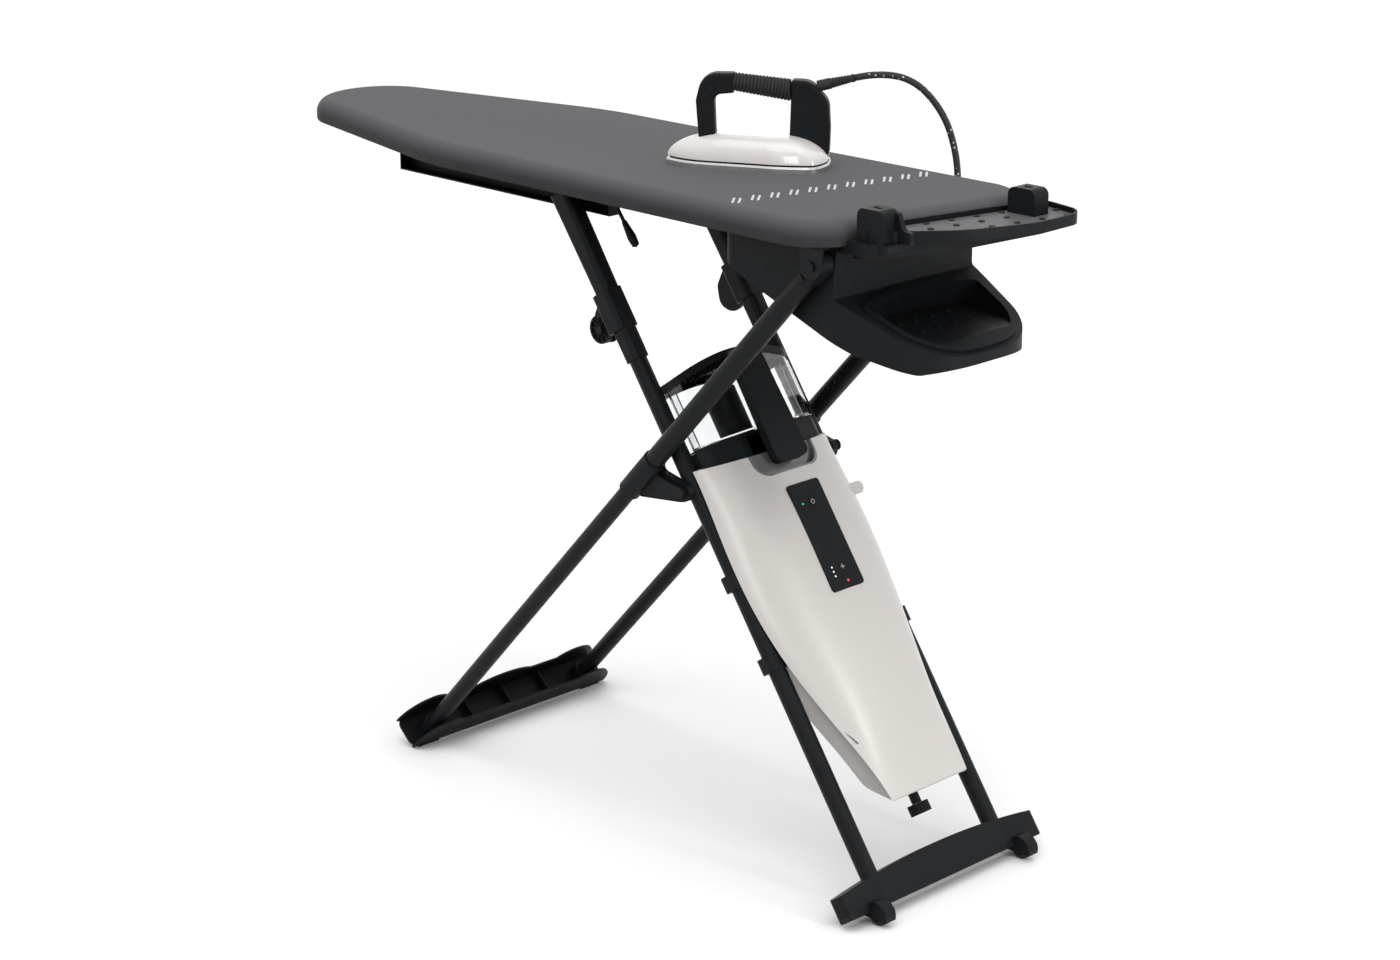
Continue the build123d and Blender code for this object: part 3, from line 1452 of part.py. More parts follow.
gen_top = 596.0
gen_heights = (604.0, 522.0, 374.0, 289.0, 230.0, 167.0, 80.0)
gen_shares = ((1.0, 0, 0.86), (1.0, 0, 0.98), (1.0, 0, 1.0), (0.90, 0.1, 0.98), (0.80, 0.25, 0.955),
              (0.69, 0.47, 0.88), (0.58, 0.70, 0.77))
gen_stations = tuple((height, *shares) for height, shares in zip(gen_heights, gen_shares))
gen_half_width = 131.0
gen_rim = 13.8
gen_crown = 64.5
back_heights = (604.0, 374.0, 289.0, 230.0, 167.0, 70.0)
back_shares = ((1.0, 0, 0), (1.0, 0, 0), (0.97, 0.09, 0.1), (0.92, 0.22, 0.25), (0.82, 0.38, 0.47),
               (0.70, 0.60, 0.72))
back_stations = tuple((height, *shares) for height, shares in zip(back_heights, back_shares))
back_half_width = 104.0
gen_back = -50.0
gen_wall = 2.5
dome_shares = ((0.42, 0.85), (0.9, 0.38))
back_depth_share = 0.9
back_corner = 20.0
back_rim_corner = 0.6
cut_reach = 200.0
top_slope = 0.263
top_lead = 16.0
bottom_slope = 0.9167
bottom_height = 124.0


def dome_face(half_width, rim, crown, station):
    """A section of the generator: straight along the rim, domed in front."""
    rise = crown - rim
    near = [(rim, -half_width)]
    near += [(rim + rise * up, -half_width * wide) for up, wide in dome_shares]
    near.append((crown, 0))
    far = [(x, -y) for x, y in reversed(near[:-1])]
    front = Spline(*near, *far)
    back = Line((rim, half_width), (rim, -half_width))
    return Pos(0, 0, station) * make_face(Curve() + [front, back])


def front_body(inset, rim_inset, stations=gen_stations):
    """The domed body in front of the rim, drawn inwards by the insets."""
    faces = []
    span = gen_crown - gen_rim
    for station, width_share, rim_share, crown_share in stations:
        rim = gen_rim + span * rim_share + rim_inset
        crown = gen_rim + span * crown_share - inset
        faces.append(dome_face(gen_half_width * width_share - inset, rim, crown, station))
    return loft(faces)


def back_body(inset):
    """The tub behind the rim, drawn inwards by the inset."""
    faces = []
    span = gen_crown - gen_rim
    for station, width_share, back_share, rim_share in back_stations:
        half = back_half_width * width_share - inset
        back = gen_back + (gen_crown - gen_back) * back_share * back_depth_share + inset
        rim = gen_rim + span * rim_share
        corners = [(back, -half), (rim, -half), (rim, half), (back, half)]
        face = rounded(corners, [back_corner, back_rim_corner, back_rim_corner, back_corner])
        faces.append(Pos(0, 0, station) * face)
    return loft(faces, ruled=True)


def below_top(drop):
    """Everything under the generator's slanting top edge."""
    high = gen_top - drop - top_lead * top_slope
    outline = Polygon(
        (-cut_reach, 0), (cut_reach, 0), (cut_reach, high - cut_reach * top_slope),
        (-cut_reach, high + cut_reach * top_slope), align=None,
    )
    return side_plate(outline, -2 * gen_half_width, 2 * gen_half_width)


def above_bottom(rise):
    """Everything over the generator's flat bottom, which is nearly level when the leg leans."""
    low = bottom_height + rise
    outline = Polygon(
        (-cut_reach, low + cut_reach * bottom_slope), (cut_reach, low - cut_reach * bottom_slope),
        (cut_reach, gen_top + cut_reach), (-cut_reach, gen_top + cut_reach), align=None,
    )
    return side_plate(outline, -2 * gen_half_width, 2 * gen_half_width)


recess_half_width = 60.0
recess_low = 543.0
recess_face = 47.0
panel_low = 365.0
panel_high = 522.0
panel_half_width = 30.5
panel_corner = 5.0
panel_thickness = 7.0
panel_proud = 0.6
panel_face = gen_crown + panel_proud
recess_flare = 6.0
recess_over = 40.0
recess_corner = 24.0
recess_sink = 0.5
window_share = 0.9
window_high = 620.0
window_bend = 374.0
window_low = 84.0
window_low_share = 0.7
window_radii = (1.0, 60.0, 10.0, 10.0, 60.0, 1.0)
inner_top_rise = 20.0


def recess_cutter(inset):
    """The U-shaped recess behind the lower end of the tank's handle."""
    outline = rounded(
        [
            (-recess_half_width - recess_flare + inset, gen_top + recess_over),
            (-recess_half_width + inset, recess_low + inset),
            (recess_half_width - inset, recess_low + inset),
            (recess_half_width + recess_flare - inset, gen_top + recess_over),
        ],
        [crisp_corner, recess_corner, recess_corner, crisp_corner],
    )
    return outline


def panel_outline(inset):
    """The control panel's rounded oblong."""
    height = panel_high - panel_low - 2 * inset
    outline = RectangleRounded(2 * (panel_half_width - inset), height, panel_corner)
    return Pos(0, (panel_high + panel_low) / 2) * outline


def make_generator_shells():
    """Front shell, back shell, the recess and the black cover under the tank."""
    wide = window_share * back_half_width
    narrow = wide * window_low_share
    outline = rounded(
        [(-wide, window_high), (-wide, window_bend), (-narrow, window_low), (narrow, window_low),
         (wide, window_bend), (wide, window_high)],
        window_radii,
    )
    window = front_plate(outline, gen_back, gen_crown)
    hollow = front_body(gen_wall, gen_wall, gen_stations[:-1]) + (front_body(gen_wall, -gen_wall) & window)
    shell = (front_body(0, 0) & below_top(0)) - hollow
    shell -= front_plate(recess_cutter(0), recess_face - gen_wall, 2 * gen_crown)
    pocket = front_plate(panel_outline(-fit_gap), panel_face - panel_thickness, 2 * gen_crown)
    backing = front_plate(panel_outline(-2 * gen_wall), panel_face - panel_thickness - gen_wall, gen_crown)
    shell += backing & front_body(0, 0)
    shell -= pocket
    boss = rod_y(knob_radius + plastic_wall, knob_inner_y - plastic_wall, knob_outer_y, knob_front, knob_station)
    shell += boss & front_body(0, 0)
    shell -= rod_y(knob_radius + fit_gap, knob_inner_y - fit_gap, 2 * knob_outer_y, knob_front, knob_station)
    nodes["generator_front"] = leg_b_frame * shell
    tub = back_body(0) & below_top(0) & above_bottom(0)
    inner = back_body(gen_wall) & below_top(-inner_top_rise) & above_bottom(gen_wall)
    tub = tub - inner - front_body(0, -fit_gap)
    tub -= rod_z(stem_radius + fit_gap, 0, boiler_low, drain_front, 0)
    nodes["generator_back"] = leg_b_frame * tub
    cup = front_plate(recess_cutter(fit_gap), recess_face - gen_wall, recess_face)
    rim = front_plate(recess_cutter(fit_gap), recess_face, gen_crown) & front_body(recess_sink, 0)
    rim -= front_plate(recess_cutter(fit_gap + gen_wall), recess_face - overrun, 2 * gen_crown)
    nodes["handle_recess"] = leg_b_frame * ((cup + rim) & below_top(recess_sink))


tank_low = 614.0
tank_half_width = 121.0
tank_neck_half_width = 103.0
tank_rim = 17.0
tank_crown = 50.0
tank_back = -42.0
tank_side_high = 700.0
tank_middle_high = 720.0
tank_wall = 2.5
lid_thickness = 11.0
handle_front = 71.0
handle_back = 58.0
tank_front_shares = ((0.5, 0.84), (1.0, 0.22))
tank_radii = (18.0, 1.0, 2.0, 24.0, 90.0)
tank_over = 60.0
tank_over_inner = 80.0
arch_reach = 140.0
arch_low = 400.0
arch_depth = 100.0
lid_overhang = 1.5
lid_skirt_start = 60.0
lid_skirt_depth = 8.0
bar_low = 556.0
bar_half_width = 31.0
bar_top_half_width = 26.0
bar_low_corner = 12.0
bar_top_corner = 6.0
bar_over = 4.0
bridge_lead = 14.0
bridge_half_width = 24.0
bridge_drop = 8.0
filter_radius = 24.0
filter_height = 74.0
filter_front = -4.0
filter_side = -8.0
filter_neck_radius = 9.0
filter_neck_drop = 6.0
filter_top_drop = 9.0
base_inset = 2.0
base_drop = 24.0
base_top = 5.0


def tank_outline():
    """The tank seen along the leg: a domed front on a narrower back that fits between the tubes."""
    rise = tank_crown - tank_rim
    side = [
        (tank_back, -tank_neck_half_width), (tank_rim, -tank_neck_half_width), (tank_rim, -tank_half_width),
    ]
    side += [(tank_rim + rise * up, -tank_half_width * wide) for up, wide in tank_front_shares]
    points = side + [(x, -y) for x, y in reversed(side)]
    return rounded(points, tank_radii + tank_radii[::-1])


def under_arch(drop):
    """Everything under the arched top of the tank."""
    sag = (tank_middle_high - tank_side_high) * (arch_reach / tank_half_width) ** 2
    end_high = tank_middle_high - sag - drop
    outline = make_face(
        Curve() + [
            Line((-arch_reach, arch_low), (arch_reach, arch_low)),
            Line((arch_reach, arch_low), (arch_reach, end_high)),
            ThreePointArc((arch_reach, end_high), (0, tank_middle_high - drop), (-arch_reach, end_high)),
            Line((-arch_reach, end_high), (-arch_reach, arch_low)),
        ]
    )
    return front_plate(outline, -arch_depth, arch_depth)


def tank_column(inset, low, high):
    """The tank's outline drawn inwards by the inset, stood up between two heights."""
    return plan_plate(offset(tank_outline(), amount=-inset), low, high)


def make_tank():
    """The clear tank, its lid, its carrying handle, its filter and the cover it stands on."""
    high = tank_middle_high + tank_over
    higher = tank_middle_high + tank_over_inner
    outer = plan_plate(tank_outline(), tank_low, high)
    inner = tank_column(tank_wall, tank_low + tank_wall, higher)
    nodes["tank_shell"] = leg_b_frame * ((outer - inner) & under_arch(0))
    lid = (tank_column(-lid_overhang, tank_low, high) & under_arch(-lid_thickness)) - under_arch(0)
    skirt = tank_column(tank_wall + fit_gap, tank_low + lid_skirt_start, high)
    skirt -= tank_column(2 * tank_wall + fit_gap, tank_low, higher)
    lid += (skirt & under_arch(-overrun)) - under_arch(lid_skirt_depth)
    nodes["tank_lid"] = leg_b_frame * lid
    bar_high = tank_middle_high + bar_over
    bar_outline = rounded(
        [(-bar_half_width, bar_low), (bar_half_width, bar_low), (bar_top_half_width, bar_high),
         (-bar_top_half_width, bar_high)],
        [bar_low_corner, bar_low_corner, bar_top_corner, bar_top_corner],
    )
    bar_body = front_plate(bar_outline, handle_back, handle_front)
    bridge = box(tank_crown - bridge_lead, handle_back + overrun, -bridge_half_width, bridge_half_width,
                 tank_middle_high - bridge_drop, bar_high)
    nodes["tank_handle"] = leg_b_frame * (bar_body + bridge - lid - outer)
    neck_low = tank_low + filter_height
    cup = rod_z(filter_radius, tank_low + tank_wall, neck_low, filter_front, filter_side)
    cup += rod_z(filter_neck_radius, neck_low, tank_middle_high - filter_neck_drop, filter_front, filter_side)
    nodes["tank_filter"] = leg_b_frame * (cup & under_arch(filter_top_drop))
    base = tank_column(base_inset, gen_top - base_drop, tank_low - fit_gap)
    base -= tank_column(base_inset + plastic_wall, gen_top - base_drop - overrun, tank_low - base_top)
    base -= front_plate(recess_cutter(-fit_gap), recess_face - 2 * gen_wall, 2 * gen_crown)
    nodes["tank_base"] = leg_b_frame * (base - (front_body(0, 0) & below_top(0)))


knob_radius = 9.0
knob_front = 24.0
knob_station = 498.0
knob_inner_y = 110.0
knob_outer_y = 138.0
knob_ribs = 16
drain_front = 12.0
drain_knob_radius = 15.0
drain_knob_low = 50.0
drain_knob_high = 65.0
drain_ribs = 18
flute_share = 0.09
stem_radius = 7.0
stem_top = 215.0
power_y = 3.1
power_station = 492.0
fan_key_y = 3.6
fan_key_station = 395.0
button_size = 6.5
button_depth = 4.0
button_stop = 1.2
key_proud = 0.4
lamp_rows = ((-16.2, 492.4, 1.6), (2.9, 374.8, 2.2), (-15.9, 398.0, 1.3), (-15.9, 391.6, 1.3),
             (-15.9, 385.2, 1.3))
lamp_depth = 2.0
lamp_proud = 0.3
boiler_radius = 29.0
boiler_low = 200.0
boiler_high = 350.0
boiler_front = 26.0
boiler_corner = 10.0
pump_radius = 17.0
pump_low = 380.0
pump_high = 470.0
pump_front = -12.0
pump_side = -55.0
pump_block_front = 10.0
pump_block_half_width = 21.0
pump_block_low = 404.0
pump_block_high = 440.0
clip_back = 17.0
clip_half_width = 16.0
clip_height = 22.0
clip_corner = 9.0
clip_tab_front = 4.0
clip_tab_over = 6.0
clip_stations = (300.0, 420.0)


def ribbed_knob(radius, height, ribs):
    """A round knob along Z with shallow flutes round its side."""
    knob = rod_z(radius, 0, height)
    for i in range(ribs):
        flute = rod_z(radius * flute_share, -overrun, height + overrun, radius, 0)
        knob -= Rot(0, 0, i * 360 / ribs) * flute
    return knob


def make_generator_fittings():
    """Panel, buttons, lights, side knob, drain, and the pieces inside."""
    pocket_back = panel_face - panel_thickness
    panel = front_plate(panel_outline(0), pocket_back, panel_face)
    key_back = panel_face - button_depth
    keys = (("power_button", power_y, power_station), ("fan_button", fan_key_y, fan_key_station))
    for name, y, station in keys:
        panel -= rod_x(button_size + fit_gap, key_back, panel_face + overrun, y, station)
        key = rod_x(button_size, key_back + button_stop, panel_face + key_proud, y, station)
        nodes[name] = leg_b_frame * key
    lights = None
    for y, station, radius in lamp_rows:
        lamp = rod_x(radius, panel_face - lamp_depth, panel_face + lamp_proud, y, station)
        panel -= lamp
        lights = lamp if lights is None else lights + lamp
    nodes["control_panel"] = leg_b_frame * panel
    nodes["panel_lights"] = leg_b_frame * lights
    knob = ribbed_knob(knob_radius, knob_outer_y - knob_inner_y, knob_ribs)
    knob = Pos(knob_front, knob_inner_y, knob_station) * Rot(-90, 0, 0) * knob
    nodes["side_knob"] = leg_b_frame * knob
    stem = rod_z(stem_radius, drain_knob_high + fit_gap, stem_top, drain_front, 0)
    drain = ribbed_knob(drain_knob_radius, drain_knob_high - drain_knob_low, drain_ribs)
    nodes["drain_knob"] = leg_b_frame * (Pos(drain_front, 0, drain_knob_low) * drain)
    boiler = rod_z(boiler_radius, boiler_low, boiler_high, boiler_front, 0)
    boiler = fillet(boiler.edges(), boiler_corner)
    nodes["boiler"] = leg_b_frame * (boiler + stem)
    pump = rod_z(pump_radius, pump_low, pump_high, pump_front, pump_side)
    pump += box(gen_back + gen_wall + fit_gap, pump_block_front, pump_side - pump_block_half_width,
                pump_side + pump_block_half_width, pump_block_low, pump_block_high)
    nodes["pump"] = leg_b_frame * pump
    clip = box(-clip_back, gen_rim - overrun, -leg_b_offset - clip_half_width, -leg_b_offset + clip_half_width,
               0, clip_height)
    clip = fillet(clip.edges().filter_by(Axis.Z), clip_corner)
    clip += box(-clip_back, clip_tab_front, -leg_b_offset, -back_half_width + clip_tab_over, 0, clip_height)
    clip -= Pos(0, -leg_b_offset, 0) * rod_z(leg_b_tube / 2, -overrun, clip_height + overrun)
    clips = None
    for station in clip_stations:
        part = Pos(0, 0, station) * clip - back_body(0)
        clips = part if clips is None else clips + part
    nodes["mounting_clips"] = leg_b_frame * both_sides(clips)


def build():
    """Every node, in the order in which pieces rest on each other."""
    make_board()
    make_rails()
    make_pivot_brackets()
    make_housing()
    make_basin()
    make_fan()
    make_lever()
    make_rest()
    make_iron_body()
    make_handle()
    make_grip()
    make_relief()
    last = make_cord()
    make_cord_fittings(last)
    make_leg_a_tubes()
    make_sleeves()
    make_foot_a()
    make_leg_b_tubes()
    make_transport_wheels()
    make_foot_b()
    make_generator_shells()
    make_tank()
    make_generator_fittings()


def export():
    """Centre the part on its footprint and write one STEP file for each node."""
    os.makedirs("parts", exist_ok=True)
    boxes = [shape.bounding_box() for shape in nodes.values()]
    middle_x = (min(b.min.X for b in boxes) + max(b.max.X for b in boxes)) / 2
    middle_y = (min(b.min.Y for b in boxes) + max(b.max.Y for b in boxes)) / 2
    floor = min(b.min.Z for b in boxes)
    size = [max(b.max.X for b in boxes) - min(b.min.X for b in boxes),
            max(b.max.Y for b in boxes) - min(b.min.Y for b in boxes),
            max(b.max.Z for b in boxes) - floor]
    print("leg_b_angle", round(leg_b_angle, 5))
    print("shift", round(middle_x, 4), round(middle_y, 3), round(floor, 3), "size", [round(v, 1) for v in size])
    pivots = {
        "leg_a": (pivot_x, 0, pivot_height),
        "cross": (cross_x, 0, cross_height),
        "lever": (lever_x, lever_y, lever_height),
        "fan": (fan_x, 0, fan_height),
        "wheel": tuple((leg_b_frame * Pos(wheel_back, 0, wheel_station)).position),
        "caster": (caster_x, 0, caster_radius),
        "steam_button": tuple((handle_frame * Pos(button_a, 0, button_z)).position),
        "power_button": tuple((leg_b_frame * Pos(panel_face, power_y, power_station)).position),
        "side_knob": tuple((leg_b_frame * Pos(knob_front, 0, knob_station)).position),
        "drain_knob": tuple((leg_b_frame * Pos(drain_front, 0, drain_knob_low)).position),
        "tank": tuple((leg_b_frame * Pos(0, 0, tank_low)).position),
    }
    for name, place in pivots.items():
        moved = (place[0] - middle_x, place[1] - middle_y, place[2] - floor)
        print("pivot", name, [round(v, 4) for v in moved])
    for name, shape in nodes.items():
        moved = Pos(-middle_x, -middle_y, -floor) * shape
        export_step(moved, "parts/" + name + ".step")
        print(name, len(shape.solids()), round(shape.volume / 1000, 1))


if __name__ == "__main__":
    build()
    export()
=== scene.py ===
import json
import math
from collections import namedtuple

import bmesh
import bpy
import numpy as np
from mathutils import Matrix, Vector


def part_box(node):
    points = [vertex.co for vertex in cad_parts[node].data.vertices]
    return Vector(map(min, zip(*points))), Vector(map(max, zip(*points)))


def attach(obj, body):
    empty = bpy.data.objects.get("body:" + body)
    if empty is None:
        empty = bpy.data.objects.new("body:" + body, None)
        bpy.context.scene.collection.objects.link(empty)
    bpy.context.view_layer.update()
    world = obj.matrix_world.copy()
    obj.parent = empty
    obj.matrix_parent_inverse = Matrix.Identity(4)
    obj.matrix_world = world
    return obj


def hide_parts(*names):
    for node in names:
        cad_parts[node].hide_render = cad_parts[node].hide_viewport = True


bl_info = {
    "name": "Ironing system",
    "version": (1, 0, 0),
    "blender": (4, 5, 0),
    "location": "3D View > Sidebar > Ironing",
    "description": "Dresses the packed ironing board, its iron and its steam generator",
    "category": "Object",
}

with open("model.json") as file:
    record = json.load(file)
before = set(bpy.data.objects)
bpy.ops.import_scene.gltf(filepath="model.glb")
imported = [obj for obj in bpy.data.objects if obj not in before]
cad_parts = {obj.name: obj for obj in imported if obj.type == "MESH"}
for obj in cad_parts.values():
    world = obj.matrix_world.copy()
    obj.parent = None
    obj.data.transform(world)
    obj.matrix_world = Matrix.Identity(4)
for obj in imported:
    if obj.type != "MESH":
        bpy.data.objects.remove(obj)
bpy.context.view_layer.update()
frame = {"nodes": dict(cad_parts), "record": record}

MM = 0.001

# Places are given as on the drawing: X from the nose tip, Y from the middle plane, Z from the floor.
NOSE_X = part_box("board_cover")[0][0]


def at(x, y, z):
    """A place on the drawing, in millimetres, as a point of the frame."""
    return np.array([NOSE_X + x * MM, y * MM, z * MM])


# Materials

# Most values of a noise lie between these two.
NOISE_LOW = 0.3
NOISE_HIGH = 0.7
NOISE_DETAIL = 3.0
NOISE_ROUGHNESS = 0.55

# At a scale of 1 a wave texture turns by so many radians in a metre.
WAVE_TURN = 20

# Places of the colour sockets of a Mix node, because its other kinds have sockets of the same names.
MIX_COLOURS = (6, 7)
MIX_RESULT = 2


def shade(colour, share):
    """A colour made lighter or darker."""
    return tuple(min(1.0, c * share) for c in colour)


class Shader:
    """A node material with short calls for the nodes that the finishes share."""

    def __init__(self, name):
        self.material = bpy.data.materials.new(name)
        self.material.use_nodes = True
        self.tree = self.material.node_tree
        self.surface = self.tree.nodes["Principled BSDF"]
        self.place = self.tree.nodes.new("ShaderNodeTexCoord")

    def add(self, kind, **values):
        """Adds a node and sets its own properties."""
        node = self.tree.nodes.new(kind)
        for key, value in values.items():
            setattr(node, key, value)
        return node

    def join(self, start, end):
        """Links an output to an input."""
        self.tree.links.new(start, end)

    def set(self, **values):
        """Sets sockets of the surface shader by name, with _ for a space."""
        for key, value in values.items():
            self.surface.inputs[key.replace("_", " ")].default_value = value

    def points(self, stretch=(1, 1, 1), source="Object"):
        """The surface's own coordinates, stretched."""
        mapping = self.add("ShaderNodeMapping")
        mapping.inputs["Scale"].default_value = stretch
        self.join(self.place.outputs[source], mapping.inputs["Vector"])
        return mapping.outputs["Vector"]

    def parts(self, vector):
        """The X, Y and Z of a place or a direction."""
        node = self.add("ShaderNodeSeparateXYZ")
        self.join(vector, node.inputs[0])
        return node.outputs

    def noise(self, scale, detail=NOISE_DETAIL, points=None):
        """Noise of a scale in cells per metre."""
        node = self.add("ShaderNodeTexNoise")
        node.inputs["Scale"].default_value = scale
        node.inputs["Detail"].default_value = detail
        node.inputs["Roughness"].default_value = NOISE_ROUGHNESS
        self.join(self.points() if points is None else points, node.inputs["Vector"])
        return node.outputs["Fac"]

    def wave(self, scale, direction):
        """Straight bands of a scale in bands per metre."""
        node = self.add("ShaderNodeTexWave", wave_type="BANDS", wave_profile="SIN")
        node.bands_direction = direction
        node.inputs["Scale"].default_value = scale / WAVE_TURN * 2 * math.pi
        node.inputs["Distortion"].default_value = 0
        self.join(self.points(), node.inputs["Vector"])
        return node.outputs["Fac"]

    def spread(self, value, low, high, start=0.0, end=1.0):
        """Maps a value from start..end to low..high."""
        node = self.add("ShaderNodeMapRange")
        node.inputs["From Min"].default_value = start
        node.inputs["From Max"].default_value = end
        node.inputs["To Min"].default_value = low
        node.inputs["To Max"].default_value = high
        self.join(value, node.inputs["Value"])
        return node.outputs["Result"]

    def cloud(self, scale, detail=NOISE_DETAIL, start=NOISE_LOW, end=NOISE_HIGH):
        """A noise as a share, which rises from 0 to 1 between its values start and end."""
        return self.spread(self.noise(scale, detail), 0, 1, start, end)

    def blend(self, share, low, high):
        """Mixes two colours, or a linked colour, by a share."""
        node = self.add("ShaderNodeMix", data_type="RGBA")
        self.join(share, node.inputs["Factor"])
        for place, value in zip(MIX_COLOURS, (low, high)):
            if isinstance(value, tuple):
                node.inputs[place].default_value = (*value, 1)
            else:
                self.join(value, node.inputs[place])
        return node.outputs[MIX_RESULT]

    def tones(self, share, colour, dark, light):
        """Mixes a darker and a lighter tone of a colour by a share."""
        return self.blend(share, shade(colour, dark), shade(colour, light))

    def sum(self, one, other, kind="ADD"):
        """A sum or another plain operation on two values."""
        node = self.add("ShaderNodeMath", operation=kind)
        for socket, value in zip(node.inputs, (one, other)):
            if isinstance(value, (int, float)):
                socket.default_value = value
            else:
                self.join(value, socket)
        return node.outputs[0]

    def times(self, one, other):
        """A product of two values."""
        return self.sum(one, other, "MULTIPLY")

    def colour(self, value):
        """Links the surface's colour."""
        self.join(value, self.surface.inputs["Base Color"])

    def rough(self, value):
        """Links the surface's roughness."""
        self.join(value, self.surface.inputs["Roughness"])

    def rough_cloud(self, low, high, scale):
        """Gives the surface a roughness that changes between two values with a noise."""
        self.rough(self.spread(self.noise(scale), low, high, NOISE_LOW, NOISE_HIGH))

    def bump(self, height, depth, strength):
        """A bump of a depth in metres."""
        node = self.add("ShaderNodeBump")
        node.inputs["Distance"].default_value = depth
        node.inputs["Strength"].default_value = strength
        self.join(height, node.inputs["Height"])
        self.join(node.outputs["Normal"], self.surface.inputs["Normal"])

    def grain(self, scale, depth, strength, detail=NOISE_DETAIL):
        """A bump that follows a noise."""
        self.bump(self.noise(scale, detail), depth, strength)


# Where the curvature of a surface starts to count as an edge and where it fully does, and how far and how
# much the edge is paler; the paler edge is partly wear and partly a painted highlight.
EDGE_START = 0.53
EDGE_FULL = 0.6
EDGE_SHARE = 0.35
EDGE_LIGHT = 1.7


def wear_and_edge_highlight(shader, colour, dark, light, scale):
    """A colour with slow cloudy variation and a slightly paler tone on sharp edges: partly wear, partly a
    painted highlight.
    """
    body = shader.tones(shader.cloud(scale, detail=4.0), colour, dark, light)
    edge = shader.add("ShaderNodeNewGeometry").outputs["Pointiness"]
    share = shader.spread(edge, low=0, high=EDGE_SHARE, start=EDGE_START, end=EDGE_FULL)
    # The paler edge tone: partly wear, partly a painted highlight.
    return shader.blend(share, body, shade(colour, light * EDGE_LIGHT))


# How far the floor of the iron rest reaches below, above and in front of the nubs that stand on it, and the
# upward part of its normal. This floor gets a paler grey: a painted reflection of light at a glancing angle.
FLOOR_BELOW = 0.002
FLOOR_ABOVE = 0.001
FLOOR_BEFORE = 0.03
FLOOR_LEVEL = 0.98


def moulded_black(settings):
    """Dark grey plastic with a fine spark-eroded grain; on the level floor of the iron rest a paler grey is a
    painted reflection.
    """
    s = Shader("moulded_black")
    low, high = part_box("rest_nubs")
    place = s.parts(s.points())
    normal = s.parts(s.add("ShaderNodeNewGeometry").outputs["Normal"])
    over = s.sum(place["Z"], low[2] - FLOOR_BELOW, "GREATER_THAN")
    under = s.sum(place["Z"], high[2] + FLOOR_ABOVE, "LESS_THAN")
    behind = s.sum(place["X"], low[0] - FLOOR_BEFORE, "GREATER_THAN")
    level = s.sum(normal["Z"], FLOOR_LEVEL, "GREATER_THAN")
    # The rest's level floor, which gets the painted reflection.
    floor = s.times(s.times(over, under), s.times(behind, level))
    body = wear_and_edge_highlight(s, tuple(settings.plastic_colour), dark=0.88, light=1.12, scale=9.0)
    # The paler grey on that floor is a painted reflection, not the plastic's own colour.
    s.colour(s.blend(floor, body, tuple(settings.rest_painted_reflection)))
    s.rough_cloud(low=0.4, high=0.54, scale=60.0)
    s.grain(scale=2600.0, detail=2.0, depth=0.00006, strength=0.5)
    s.set(Specular_IOR_Level=0.12)
    return s.material


def painted_black(settings):
    """Satin powder coat with orange-peel texture."""
    s = Shader("painted_black")
    s.colour(wear_and_edge_highlight(s, tuple(settings.paint_colour), dark=0.9, light=1.1, scale=14.0))
    s.rough_cloud(low=0.36, high=0.5, scale=90.0)
    s.grain(scale=1400.0, detail=2.0, depth=0.00009, strength=0.5)
    s.set(Specular_IOR_Level=0.14)
    return s.material


def lacquered_shell(settings):
    """Warm pale grey lacquer with a faint pearl under a satin coat."""
    s = Shader("lacquered_shell")
    colour = tuple(settings.shell_colour)
    flake = s.cloud(scale=5200.0, detail=1.0, start=0.42, end=0.62)
    base = s.tones(flake, colour, dark=0.975, light=1.03)
    haze = s.cloud(scale=5.0, detail=2.0, start=0.35, end=0.65)
    s.colour(s.blend(haze, base, shade(colour, share=0.985)))
    s.rough_cloud(low=0.3, high=0.38, scale=240.0)
    s.grain(scale=900.0, detail=2.0, depth=0.00002, strength=0.4)
    s.set(Coat_Weight=0.35, Coat_Roughness=0.22, Metallic=0.12)
    return s.material


def glazed_cream(settings):
    """Glossy cream plastic with a clear coat."""
    s = Shader("glazed_cream")
    haze = s.cloud(scale=12.0, start=0.35, end=0.65)
    s.colour(s.tones(haze, tuple(settings.cream_colour), dark=0.97, light=1.02))
    s.rough_cloud(low=0.12, high=0.18, scale=350.0)
    s.grain(scale=500.0, detail=1.0, depth=0.00001, strength=0.4)
    s.set(Coat_Weight=0.8, Coat_Roughness=0.06)
    return s.material


def brushed_metal(name, colour, smooth, rough):
    """Bare metal with fine lines of brushing along X."""
    s = Shader(name)
    lines = s.noise(scale=1800.0, detail=2.0, points=s.points(stretch=(0.02, 1, 1)))
    s.colour(s.tones(lines, colour, dark=0.9, light=1.05))
    s.rough(s.spread(lines, smooth, rough, NOISE_LOW, NOISE_HIGH))
    s.bump(lines, depth=0.00002, strength=0.5)
    s.set(Metallic=1.0)
    return s.material


def matt_rubber(settings):
    """Nearly black rubber with a dusty bloom."""
    s = Shader("matt_rubber")
    bloom = s.cloud(scale=30.0, detail=5.0, start=0.4, end=0.7)
    s.colour(s.tones(bloom, tuple(settings.rubber_colour), dark=1.0, light=1.5))
    s.rough_cloud(low=0.6, high=0.76, scale=300.0)
    s.grain(scale=3000.0, detail=2.0, depth=0.00005, strength=0.5)
    return s.material


def clear_plastic():
    """Clear moulded tank plastic."""
    s = Shader("clear_plastic")
    cool = (0.94, 0.96, 0.965)
    clear = (0.98, 0.985, 0.99)
    s.colour(s.blend(s.noise(scale=8.0), cool, clear))
    s.rough_cloud(low=0.015, high=0.045, scale=40.0)
    s.grain(scale=40.0, detail=1.0, depth=0.00001, strength=0.3)
    s.set(Transmission_Weight=1.0, IOR=1.45, Specular_IOR_Level=0.6)
    return s.material


